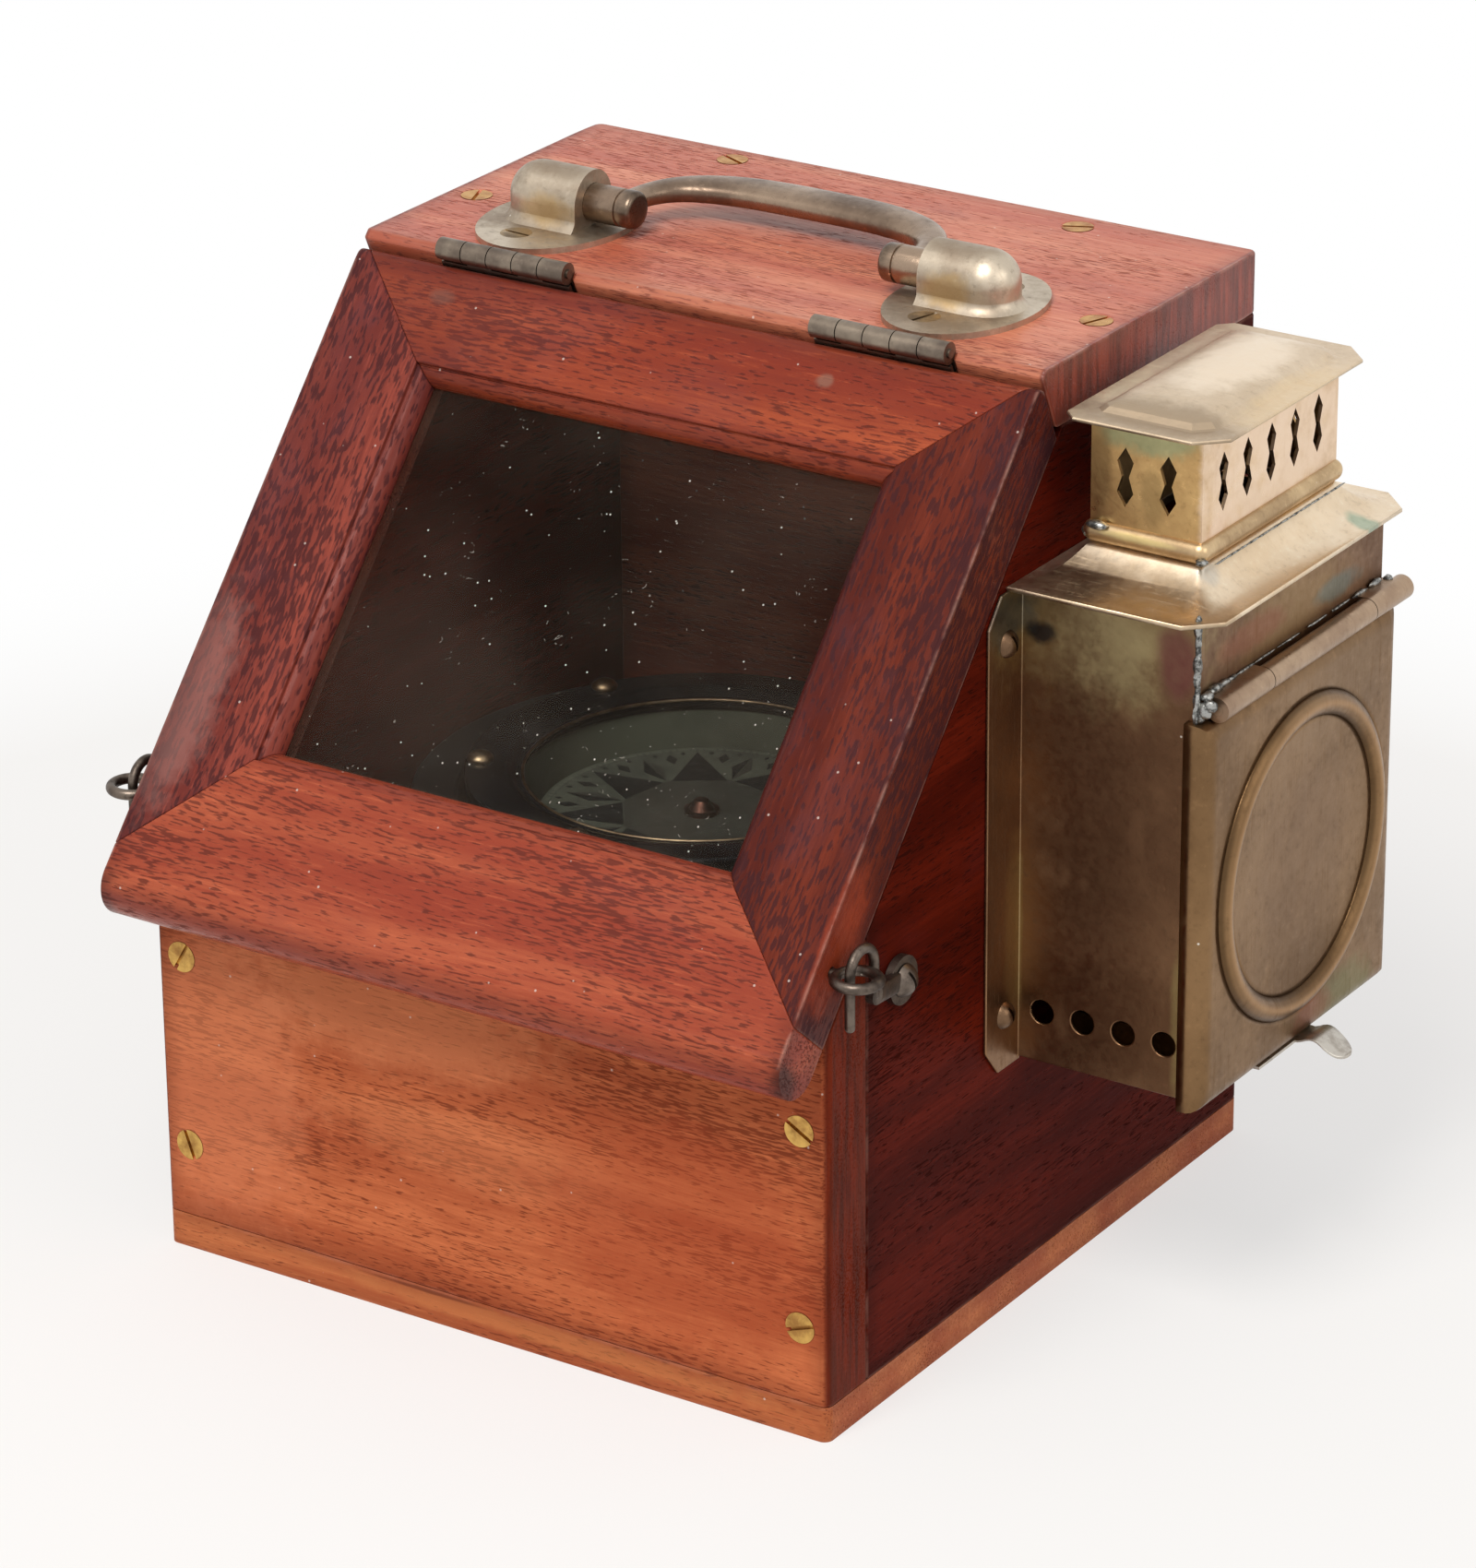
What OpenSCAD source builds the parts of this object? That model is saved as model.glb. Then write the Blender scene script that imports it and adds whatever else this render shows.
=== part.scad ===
// Boat compass in a mahogany carrying case, with a brass oil lamp on the right side.
// Frame: X to the right along the front, Y to the back, Z up.
// The origin is the centre of the base board's underside.

/* [Case] */
// Width of the case across its sides
case_w = 203; // [195:1:215]
// Depth of the case from front to back
case_d = 205.7; // [200:0.1:215]
// Height of the case over its top board
case_h = 248.8; // [244:0.1:258]
// Thickness of the front board
front_t = 18; // [14:0.5:20]
// Thickness of the side boards
side_t = 16; // [13:0.5:17]
// Thickness of the back board
back_t = 16; // [13:0.5:17]
// Thickness of the top board
top_t = 16.5; // [14:0.5:18]
// Thickness of the base board
base_t = 9.5; // [7:0.5:12]
// Radius of the case's rounded upright corners
corner_r = 2.5; // [1:0.5:4]
// Place of the ridge, where the top board meets the sloping door
ridge_y = -3; // [-6:0.5:0]

/* [Sloping door] */
// Slope of the door from level
slope = 48.6; // [47:0.1:50]
// Length of the door down its slope
door_l = 188.5; // [182:0.5:192]
// Width of the top board's strip in the door's plane
strip_w = 2.75; // [2:0.05:4]
// Thickness of the door
door_t = 17; // [15:0.5:19]
// Width of the two stiles
stile_w = 30; // [25:0.5:34]
// Width of the top rail
top_rail_w = 32; // [28:0.5:36]
// Width of the bottom rail
bottom_rail_w = 45.5; // [42:0.5:50]
// How far the ovolo moulding reaches into the sight opening
ovolo_r = 4; // [2:0.5:5]
// Depth of the glass below the door's face
glass_depth = 6.5; // [6:0.1:7.5]
// Thickness of the door's glass
glass_t = 3; // [2:0.5:4]
// Width of the rebate that holds the glass
rebate_w = 5; // [3:0.5:7]
// Thickness of the beads behind the glass
bead_t = 4; // [3:0.5:5]
// Radius of the rounded edge at the top of the door
door_arris_r = 2.5; // [1.5:0.1:3]

/* [Door hinges] */
// Distance of each hinge from the middle of the case
hinge_x = 56.3; // [45:0.5:65]
// Length of each hinge
hinge_l = 39.4; // [34:0.2:45]
// Radius of the hinge barrel
barrel_r = 2.9; // [2.6:0.1:3.4]
// Height of the barrel's axis over the joint
hinge_rise = 2.6; // [2.2:0.1:3]
// Radius of the hinge pin
hinge_pin_r = 1.2; // [1:0.1:1.5]
// Thickness of a hinge leaf
leaf_t = 1; // [0.8:0.1:1.4]
// Depth of a hinge leaf in the joint
leaf_h = 12; // [9:0.5:14]

/* [Carrying handle] */
// Distance of each handle plate from the middle
handle_x = 61.3; // [56:0.5:66]
// Place of the handle's pivot behind the middle
handle_y = 27; // [24:0.5:34]
// Half length of the oval plate, front to back
plate_ry = 26; // [23:0.5:28]
// Half width of the oval plate
plate_rx = 19.2; // [17:0.2:22]
// Thickness of the oval plate
plate_t = 1.6; // [1.2:0.1:2.4]
// Radius of the arched housing on the plate
housing_r = 8.5; // [7.5:0.1:9.5]
// Height of the handle's pivot over the plate
pivot_h = 6; // [5.6:0.1:8]
// Length of the housing without its round end
housing_l = 15.5; // [12:0.5:18]
// Radius of the handle's pivot pins
handle_pin_r = 5; // [4:0.1:5.4]
// How far the free end of each pivot pin stands out of its housing
pin_out = 14; // [11:0.5:16]
// Reach of the handle's grip from its pivots
grip_reach = 27.8; // [24:0.2:30]
// Width of the grip at its middle
grip_w = 13; // [9:0.5:14]
// Thickness of the grip at its middle
grip_t = 7; // [5:0.2:8]
// Width of the grip at its necks
neck_w = 6; // [5:0.2:8]

/* [Side hooks] */
// Place of the hook's pivot along the side
hook_y = -71.5; // [-76:0.5:-66]
// Depth of the hook's pivot below the case's top
hook_drop = 135; // [131:0.2:140]
// Radius of the hook's pivot disc
hook_disc_r = 6.3; // [5.5:0.1:7]
// Radius of the hook's wire
hook_wire_r = 1.3; // [1.1:0.1:1.5]
// Radius of the finger loop to the wire's middle
loop_r = 5.4; // [4.8:0.1:6]
// Distance from the pivot to the hook's tail
tail_reach = 30.3; // [28:0.1:32]
// Radius of the eye ring to the wire's middle
eye_r = 5.4; // [5.2:0.1:6.5]
// Radius of the eye's wire
eye_wire_r = 1.4; // [1.2:0.1:1.6]

/* [Lamp] */
// Place of the lamp's middle along the side
lamp_y = 32; // [29:0.5:35]
// Width of the lamp, front to back
lamp_w = 94; // [88:1:100]
// How far the lamp stands out from the side
lamp_out = 50.5; // [46:0.5:56]
// Depth of the lamp's underside below the case's top
lamp_drop = 178.8; // [173:0.1:186]
// Height of the lamp's body
lamp_h = 127.5; // [122:0.5:132]
// Thickness of the sheet brass
sheet_t = 1; // [0.8:0.1:1.4]
// Width of the lamp's fixing flanges
flange_w = 16.5; // [13:0.5:18]
// Length of the clipped corners of the flanges
flange_clip = 7.5; // [4:0.5:10]
// Radius of the draught holes in the lamp's body
draught_r = 3.25; // [2:0.25:4]
// Distance between draught holes
draught_pitch = 11.6; // [10:0.2:12]
// Radius of the window between lamp and case
window_r = 25; // [20:1:28]
// Height of the window's middle over the lamp's underside
window_up = 80; // [70:1:86]
// Thickness of the window's glass
window_t = 2.5; // [2:0.1:3]

/* [Lamp door] */
// Distance from the top of the lamp's door to the top of the lamp's body
pan_drop = 23; // [20:0.5:28]
// How far the lamp door's face stands out from the lamp's body
pan_out = 3.5; // [2.5:0.5:5]
// Depth of the door's folded edge
pan_depth = 6.2; // [5:0.2:8]
// Distance from the embossed ring up to the top of the lamp's door
boss_over = 12; // [10:0.5:18]
// Distance from the embossed ring down to the lamp's underside
boss_under = 7.5; // [6:0.5:12]
// Radius of the embossed ring's round section
boss_bead_r = 3.1; // [2:0.1:3.5]
// Radius of the lamp door's hinge barrel
lamp_barrel_r = 3.2; // [2.8:0.1:3.6]
// Radius of the lamp door's hinge pin
lamp_pin_r = 1.5; // [1.2:0.1:1.8]
// Width of the thumb tab
tab_w = 10; // [8:0.5:12]
// Reach of the thumb tab beyond the door's face
tab_out = 13; // [11:0.5:15]

/* [Chimney] */
// Overhang of the lamp's roof beyond its walls
eave = 6; // [4:0.5:8]
// Rise of the lamp's roof up to the chimney
roof_rise = 9; // [7:0.5:11]
// Width of the chimney, from case to door
chimney_w = 31; // [28:0.5:34]
// Length of the chimney, front to back
chimney_l = 68; // [62:1:70]
// Height of the chimney's walls over the lamp's roof
chimney_h = 32.5; // [30:0.5:36]
// Height of the chimney's draught slots
slot_h = 15.4; // [12:0.2:17]
// Greatest width of a draught slot
slot_w = 4.6; // [3:0.2:5.4]
// Distance between draught slots
slot_pitch = 11.9; // [10.5:0.1:12.3]
// Radius of the bead round the chimney's foot
foot_bead_r = 2.8; // [2:0.1:3.2]
// Overhang of the chimney's roof
cap_eave = 6.2; // [4:0.1:7]
// Rise of the chimney's roof
cap_rise = 4.6; // [3:0.1:7]

/* [Oil font and burner] */
// Length of the oil font, front to back
font_l = 56; // [48:1:60]
// Width of the oil font
font_w = 36; // [32:1:38]
// Height of the oil font
font_h = 28; // [24:1:30]
// Radius of the burner
burner_r = 11; // [10:0.5:13]
// Height of the burner
burner_h = 14; // [13:0.5:17]
// Width of the flat wick
wick_w = 11.6; // [9:0.2:12]
// Thickness of the wick
wick_t = 1.9; // [1.4:0.1:2.2]
// Height of the wick tube over the burner
tube_h = 9; // [7:0.5:12]
// Radius of the wick wheels
wheel_r = 3; // [2.4:0.1:3.2]
// Radius of the wick winder's spindle
spindle_r = 1.2; // [1:0.1:1.4]
// Radius of the wick winder's knob
knob_r = 6; // [5:0.5:7]

/* [Compass] */
// Place of the compass along the case
compass_y = -3; // [-5:0.5:0]
// Depth of the gimbal's axes below the case's top
gimbal_drop = 138.8; // [136:0.1:142]
// Room for a pivot bracket between the gimbal ring and the front board
bracket_room = 6.85; // [6:0.05:8]
// Width of the gimbal ring
gimbal_w = 12; // [11:0.5:13]
// Height of the gimbal ring
gimbal_h = 12; // [10:0.5:13]
// Radius of the gimbal's pivot pins
gimbal_pin_r = 2.5; // [2:0.1:3]
// Gap between the gimbal ring and the compass's bezel
bezel_gap = 2; // [1.5:0.1:3]
// Width of the bezel round the sight glass
bezel_w = 15; // [13:0.5:17]
// Height of the bezel over the gimbal's axes
bezel_up = 12.5; // [11.5:0.1:13.5]
// Distance from the bowl's wall to the outside of the bezel
bowl_in = 11; // [10:0.5:12]
// Depth of the bowl below the gimbal's axes
bowl_deep = 52; // [46:1:56]
// Thickness of the bowl's wall
bowl_t = 2.5; // [2:0.1:3]
// Width of the ring between the card's edge and the bezel
card_margin = 3.5; // [2.5:0.5:6]
// Depth of the card below the glass
card_drop = 11.5; // [10:0.5:12.5]
// Distance of the bezel screws from the outside of the bezel
bezel_screw_in = 4; // [3.6:0.1:4.6]
// Number of bezel screws
bezel_screws_n = 6; // [4:1:8]

/* [Screws] */
// Radius of the heads of the wood screws
screw_head_r = 4.15; // [3.6:0.05:4.6]
// Radius of the wood screws' shanks
screw_r = 2.1; // [1.8:0.1:2.4]
// Length of the wood screws
screw_l = 26; // [22:1:32]

/* [Fits] */
// Gap all round a pin that turns in its bore
run_gap = 0.05; // [0.03:0.01:0.08]
// Gap all round a part seated in its hole
seat_gap = 0.03; // [0.02:0.01:0.05]
// Gap between the closed door and the boards below it
lid_gap = 0.3; // [0.2:0.1:0.6]
// Gap in the joint between door and top board
mitre_gap = 0.8; // [0.6:0.1:1.2]
// Gap between the knuckles of a hinge
knuckle_gap = 0.3; // [0.2:0.05:0.4]
// Gap between the lamp door's folded edge and the lamp
pan_gap = 0.6; // [0.4:0.1:1]

/* [Hidden] */
$fn = 48;

mahogany = [0.50, 0.16, 0.08];
mahogany_light = [0.66, 0.28, 0.12];
aged_brass = [0.50, 0.40, 0.26];
bright_brass = [0.80, 0.62, 0.28];
bronze = [0.42, 0.38, 0.32];
dark_brass = [0.36, 0.33, 0.29];
black_paint = [0.07, 0.07, 0.08];
glass_colour = [0.75, 0.82, 0.80, 0.35];
card_colour = [0.45, 0.48, 0.38];
steel = [0.60, 0.58, 0.55];
lead = [0.38, 0.38, 0.40];
cotton = [0.86, 0.82, 0.72];

// Case, worked out
far = 400;
half_w = case_w / 2;
front_y = -case_d / 2;
back_y = case_d / 2;
front_in = front_y + front_t;
back_in = back_y - back_t;
side_in = half_w - side_t;
top_in = case_h - top_t;
mitre = slope / 2;
hook_z = case_h - hook_drop;
lamp_z = case_h - lamp_drop;
pan_h = lamp_h - pan_drop;
boss_r = (pan_h - boss_over - boss_under) / 2;
boss_up = boss_under + boss_r;
gimbal_z = case_h - gimbal_drop;
gimbal_r = compass_y - front_in - bracket_room;
bezel_r = gimbal_r - gimbal_w - bezel_gap;
sight_r = bezel_r - bezel_w;
bowl_r = bezel_r - bowl_in;
card_r = sight_r - card_margin;
bezel_screw_r = bezel_r - bezel_screw_in;
joint_y = ridge_y - strip_w * cos(slope);
joint_z = case_h - strip_w * sin(slope);
door_seat = door_t + lid_gap;
break_y = ridge_y + (door_seat / cos(slope) - top_t) / tan(slope);

// Height at depth y of the plane that lies `down` below the door's face
function slope_top(y, down) = case_h - (ridge_y - y) * tan(slope) - down / cos(slope);

// Extrudes an outline drawn in Y and Z from x0 to x1
module across(x0, x1) {
    translate([x0, 0, 0]) rotate([90, 0, 90]) linear_extrude(x1 - x0) children();
}

// A cylinder along X from x0 to x1 with its axis at y, z
module rod_x(x0, x1, y, z, r) {
    translate([x0, y, z]) rotate([0, 90, 0]) cylinder(r = r, h = x1 - x0);
}

// A cylinder along Y from y0 to y1 with its axis at x, z
module rod_y(y0, y1, x, z, r) {
    translate([x, y0, z]) rotate([-90, 0, 0]) cylinder(r = r, h = y1 - y0);
}

// A rectangle with round corners, from its low corner
module round_rect(low, size, r) {
    translate([low[0] + r, low[1]]) square([size[0] - 2 * r, size[1]]);
    translate([low[0], low[1] + r]) square([size[0], size[1] - 2 * r]);
    for (i = [0, 1], j = [0, 1])
        translate([low[0] + r + i * (size[0] - 2 * r), low[1] + r + j * (size[1] - 2 * r)]) circle(r);
}

module case_plan() {
    round_rect([-half_w, front_y], [case_w, case_d], corner_r);
}

// The upright column that gives every board the case's rounded corners
module case_column() {
    translate([0, 0, -1]) linear_extrude(case_h + 2) case_plan();
}

// Frames that lie on the door's face and on the joint between door and top board
module on_slope() {
    translate([0, ridge_y, case_h]) rotate([slope, 0, 0]) children();
}
module on_mitre() {
    translate([0, joint_y, joint_z]) rotate([mitre, 0, 0]) children();
}

// Wood screws: countersunk and slotted, with the head's face at z = 0 and the shank down
csk_h = screw_head_r * 0.55;
slot_cut_w = 1;
slot_cut_h = 0.9;
module csk_solid(extra) {
    translate([0, 0, -csk_h]) cylinder(r1 = screw_r + extra, r2 = screw_head_r + extra, h = csk_h);
    translate([0, 0, -screw_l - extra]) cylinder(r = screw_r + extra, h = screw_l - csk_h + extra + 0.01);
}
module csk_screw(turn) {
    difference() {
        csk_solid(0);
        rotate([0, 0, turn])
            translate([-far / 2, -slot_cut_w / 2, -slot_cut_h]) cube([far, slot_cut_w, slot_cut_h + 1]);
    }
}
module csk_hole() {
    csk_solid(seat_gap);
    translate([0, 0, -0.001]) cylinder(r = screw_head_r + seat_gap, h = 5);
}

// Round-headed screws: the head's flat underside at z = 0
module round_screw(head_r, head_h, shank_r, length, turn) {
    ball_r = (head_r * head_r + head_h * head_h) / (2 * head_h);
    difference() {
        union() {
            intersection() {
                translate([0, 0, head_h - ball_r]) sphere(ball_r);
                cylinder(r = head_r, h = head_h);
            }
            translate([0, 0, -length]) cylinder(r = shank_r, h = length + 0.01);
        }
        rotate([0, 0, turn])
            translate([-far / 2, -0.4, head_h * 0.55]) cube([far, 0.8, head_h]);
    }
}

// Front screws go into the ends of the side boards
screw_inset = side_t / 2;
front_screw_low = 30;
front_screw_drop = 25.9;
front_screw_up = [front_screw_low, slope_top(front_y, door_seat) - front_screw_drop];
front_screw_turns = [[-70, 20], [60, -30]];
module at_front_screws() {
    for (j = [0, 1], i = [0, 1])
        translate([(i * 2 - 1) * (half_w - screw_inset), front_y, front_screw_up[j]])
            rotate([90, 0, 0]) rotate([0, 0, front_screw_turns[j][i]]) children();
}

// Top screws go into the back board and the side boards
top_screw_x = 53;
top_screw_y = 34.7;
module at_top_screws() {
    for (s = [-1, 1]) {
        translate([s * top_screw_x, back_y - back_t / 2, case_h]) rotate([0, 0, 25 * s]) children();
        translate([s * (half_w - screw_inset), top_screw_y, case_h]) rotate([0, 0, 70 * s]) children();
    }
}

// Base screws come up through the base board, sunk a little
base_screw_sunk = 0.4;
base_screw_in = 42.85;
module at_base_screws() {
    for (s = [-1, 1], y = [front_y + base_screw_in, 0, back_y - base_screw_in])
        translate([s * (half_w - screw_inset), y, base_screw_sunk]) rotate([180, 0, 0]) children();
}

// --- boards of the case ---

module base_board() {
    color(mahogany_light) difference() {
        linear_extrude(base_t) case_plan();
        at_base_screws() csk_hole();
    }
}

module front_board() {
    color(mahogany_light) difference() {
        intersection() {
            across(-half_w, half_w) polygon([
                [front_y, base_t],
                [front_in, base_t],
                [front_in, slope_top(front_in, door_seat)],
                [front_y, slope_top(front_y, door_seat)]
            ]);
            case_column();
        }
        at_front_screws() csk_hole();
        at_bracket_screws() bracket_screw_hole();
    }
}

module side_blank() {
    across(side_in, half_w) polygon([
        [front_in, base_t],
        [back_y, base_t],
        [back_y, top_in],
        [break_y, top_in],
        [front_in, slope_top(front_in, door_seat)]
    ]);
}

module side_board(s) {
    color(mahogany) difference() {
        intersection() {
            if (s > 0) side_blank(); else mirror([1, 0, 0]) side_blank();
            case_column();
        }
        at_front_screws() csk_hole();
        at_top_screws() csk_hole();
        at_base_screws() csk_hole();
        at_hook_pivot(s) hook_screw_hole();
        if (s > 0) {
            window_hole();
            at_flange_screws() flange_screw_hole();
        }
    }
}
module left_side_board() side_board(-1);
module right_side_board() side_board(1);

module back_board() {
    color(mahogany) difference() {
        translate([-side_in, back_in, base_t]) cube([2 * side_in, back_t, top_in - base_t]);
        at_top_screws() csk_hole();
        at_bracket_screws() bracket_screw_hole();
    }
}

module top_board() {
    color(mahogany) difference() {
        intersection() {
            across(-half_w, half_w) polygon([
                [ridge_y, case_h],
                [back_y, case_h],
                [back_y, top_in],
                [joint_y + (joint_z - top_in) * tan(mitre), top_in],
                [joint_y, joint_z]
            ]);
            case_column();
        }
        mitre_slab();
        hinge_pockets(1);
        at_top_screws() csk_hole();
        at_handle_screws() handle_screw_hole();
    }
}

module front_screws() color(bright_brass) at_front_screws() csk_screw(0);
module top_screws() color(bright_brass) at_top_screws() csk_screw(0);
module base_screws() color(bright_brass) at_base_screws() csk_screw(0);

// --- sloping door ---

open_half = half_w - stile_w;
open_low = door_l - bottom_rail_w;
quirk = glass_depth - ovolo_r - 1;
round_at = strip_w + mitre_gap / 2 / cos(mitre) + door_arris_r * (1 + sin(mitre)) / cos(mitre);

// The gap that parts the door from the top board
module mitre_slab() {
    on_mitre() translate([-far / 2, -mitre_gap / 2, -far / 2]) cube([far, mitre_gap, far]);
}

// Everything behind the door's end face
module behind_door() {
    on_mitre() translate([-far / 2, -mitre_gap / 2, -far / 2]) cube([far, far, far]);
}

// Section of a rail: u runs from its outer edge to the sight opening, v up to the face
module rail_section(width) {
    translate([0, -door_t]) square([width - rebate_w, door_t]);
    translate([0, -glass_depth]) square([width, glass_depth]);
    translate([width, -glass_depth]) square([ovolo_r, glass_depth - quirk - ovolo_r]);
    intersection() {
        translate([width, -quirk - ovolo_r]) circle(ovolo_r);
        translate([width, -quirk - ovolo_r]) square([ovolo_r, ovolo_r]);
    }
}

// The corner that rounding takes off the door's top edge
module arris_waste() {
    touch = [round_at - door_arris_r * cos(mitre), -door_arris_r * (1 + sin(mitre))];
    difference() {
        polygon([[-far / 40, 1], [round_at, 1], [round_at, -door_arris_r], touch, [-far / 40, touch[1]]]);
        translate([round_at, -door_arris_r]) circle(door_arris_r);
    }
}
module door_end_cuts() {
    behind_door();
    on_slope() mirror([0, 1, 0]) across(-half_w - 1, half_w + 1) arris_waste();
    hinge_pockets(-1);
}

// Prism over an outline on the door's face
module through_door() {
    translate([0, 0, -door_t - 1]) linear_extrude(door_t + 2) children();
}

module stile_blank() {
    intersection() {
        translate([-half_w, 0, 0]) rotate([90, 0, 0]) linear_extrude(door_l) rail_section(stile_w);
        through_door() polygon([
            [-half_w, -(top_rail_w - stile_w)],
            [-open_half + ovolo_r, -(top_rail_w + ovolo_r)],
            [-open_half + ovolo_r, -(open_low - ovolo_r)],
            [-half_w, -(open_low + stile_w)]
        ]);
    }
}

module door_stile(s) {
    color(mahogany) difference() {
        on_slope() mirror([s > 0 ? 1 : 0, 0, 0]) stile_blank();
        door_end_cuts();
        eye_shank(s, seat_gap);
    }
}
module door_left_stile() door_stile(-1);
module door_right_stile() door_stile(1);

module door_top_rail() {
    color(mahogany) difference() {
        on_slope() intersection() {
            mirror([0, 1, 0]) across(-half_w, half_w) rail_section(top_rail_w);
            through_door() polygon([
                [-half_w, 1], [half_w, 1],
                [half_w, -(top_rail_w - stile_w)],
                [open_half - ovolo_r, -(top_rail_w + ovolo_r)],
                [-open_half + ovolo_r, -(top_rail_w + ovolo_r)],
                [-half_w, -(top_rail_w - stile_w)]
            ]);
        }
        door_end_cuts();
    }
}

module door_bottom_rail() {
    nose = door_t / 2;
    color(mahogany_light) on_slope() intersection() {
        translate([0, -door_l, 0]) across(-half_w, half_w) union() {
            translate([nose, -nose]) circle(nose);
            intersection() {
                rail_section(bottom_rail_w);
                translate([nose, -door_t]) square([bottom_rail_w, door_t]);
            }
        }
        through_door() polygon([
            [-half_w, -(open_low + stile_w)],
            [-open_half + ovolo_r, -(open_low - ovolo_r)],
            [open_half - ovolo_r, -(open_low - ovolo_r)],
            [half_w, -(open_low + stile_w)],
            [half_w, -door_l - 1], [-half_w, -door_l - 1]
        ]);
    }
}

// The glass lies in the rebate, with beads behind it
pane_gap = 0.4;
pane_x = open_half + rebate_w - pane_gap;
pane_top = top_rail_w - rebate_w + pane_gap;
pane_low = open_low + rebate_w - pane_gap;
bead_w = rebate_w + 1.5;
module door_glass() {
    color(glass_colour) on_slope()
        translate([-pane_x, -pane_low, -glass_depth - glass_t])
            cube([2 * pane_x, pane_low - pane_top, glass_t]);
}
module glazing_beads() {
    down = -glass_depth - glass_t - bead_t;
    color(mahogany) on_slope() for (s = [-1, 1]) {
        translate([s > 0 ? pane_x - bead_w : -pane_x, -pane_low, down])
            cube([bead_w, pane_low - pane_top, bead_t]);
        translate([-pane_x + bead_w, s > 0 ? -pane_top - bead_w : -pane_low, down])
            cube([2 * (pane_x - bead_w), bead_w, bead_t]);
    }
}

// --- butt hinges in the joint between door and top board ---

knuckles = 5;
knuckle_pitch = hinge_l / knuckles;
groove_gap = 0.3;
leaf_top = hinge_rise - barrel_r - groove_gap;

// Recess for one leaf and the barrel; dir is 1 in the top board and -1 in the door
module hinge_pockets(dir) {
    slack = 0.1;
    for (s = [-1, 1]) on_mitre() translate([s * hinge_x, 0, 0]) {
        translate([-hinge_l / 2 - slack, dir > 0 ? 0 : -mitre_gap / 2 - leaf_t - slack, -leaf_h - slack])
            cube([hinge_l + 2 * slack, mitre_gap / 2 + leaf_t + slack, leaf_h + hinge_rise]);
        rod_x(-hinge_l / 2 - slack, hinge_l / 2 + slack, 0, hinge_rise, barrel_r + groove_gap);
    }
}

// One leaf with its knuckles; first is 0 for the case's leaf and 1 for the door's
module hinge_leaf(first) {
    leaf_at = first == 0 ? mitre_gap / 2 : -mitre_gap / 2 - leaf_t;
    on_mitre() difference() {
        union() {
            translate([-hinge_l / 2, leaf_at, -leaf_h]) cube([hinge_l, leaf_t, leaf_h + leaf_top]);
            for (i = [first:2:knuckles - 1])
                translate([-hinge_l / 2 + i * knuckle_pitch + knuckle_gap / 2, 0, 0]) {
                    translate([0, leaf_at, leaf_top - 1])
                        cube([knuckle_pitch - knuckle_gap, leaf_t, 1 + hinge_rise - leaf_top]);
                    rod_x(0, knuckle_pitch - knuckle_gap, 0, hinge_rise, barrel_r);
                }
        }
        rod_x(-hinge_l, hinge_l, 0, hinge_rise, hinge_pin_r + run_gap);
    }
}
module case_hinge_leaves() {
    color(dark_brass) for (s = [-1, 1]) translate([s * hinge_x, 0, 0]) hinge_leaf(0);
}
module door_hinge_leaves() {
    color(dark_brass) for (s = [-1, 1]) translate([s * hinge_x, 0, 0]) hinge_leaf(1);
}
module door_hinge_pins() {
    proud = 0.4;
    color(dark_brass) for (s = [-1, 1])
        on_mitre() rod_x(s * hinge_x - hinge_l / 2 - proud, s * hinge_x + hinge_l / 2 + proud,
            0, hinge_rise, hinge_pin_r);
}

// --- hooks and eyes at the sides ---

disc_t = 2;
disc_gap = 0.3;
hook_screw_r = 2;
hook_head_r = 4.3;
hook_head_h = 3;
eye_gap = 0.3;
// The wire stands off the side; the eye's ring lies level round the hook's tail
eye_out = eye_r + eye_wire_r + eye_gap;
hook_off = eye_out - 1.2;
tail_y = hook_y - tail_reach;
loop_z = hook_z + 13.5;
leg_y = tail_y + 2 * loop_r;
shank_end_z = hook_z + 4.8;
tail_low = hook_z + 0.4;
eye_z = hook_z + 12.8;
eye_y = tail_y + 1.3;
eye_shank_l = 13;
joggle_r = 2.5;
heel_r = 2.3;
heel_t = 2.2;

module at_side(s) {
    mirror([s < 0 ? 1 : 0, 0, 0]) translate([half_w, 0, 0]) children();
}
module at_hook_pivot(s) {
    at_side(s) translate([0, hook_y, hook_z]) rotate([0, 90, 0]) children();
}
module hook_screw_hole() {
    translate([0, 0, -15 - seat_gap]) cylinder(r = hook_screw_r + seat_gap, h = 20);
}
module hook_screws() {
    color(dark_brass) for (s = [-1, 1])
        at_hook_pivot(s) translate([0, 0, disc_t + 2 * disc_gap])
            round_screw(hook_head_r, hook_head_h, hook_screw_r, 15 + disc_t + 2 * disc_gap, 20);
}

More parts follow.
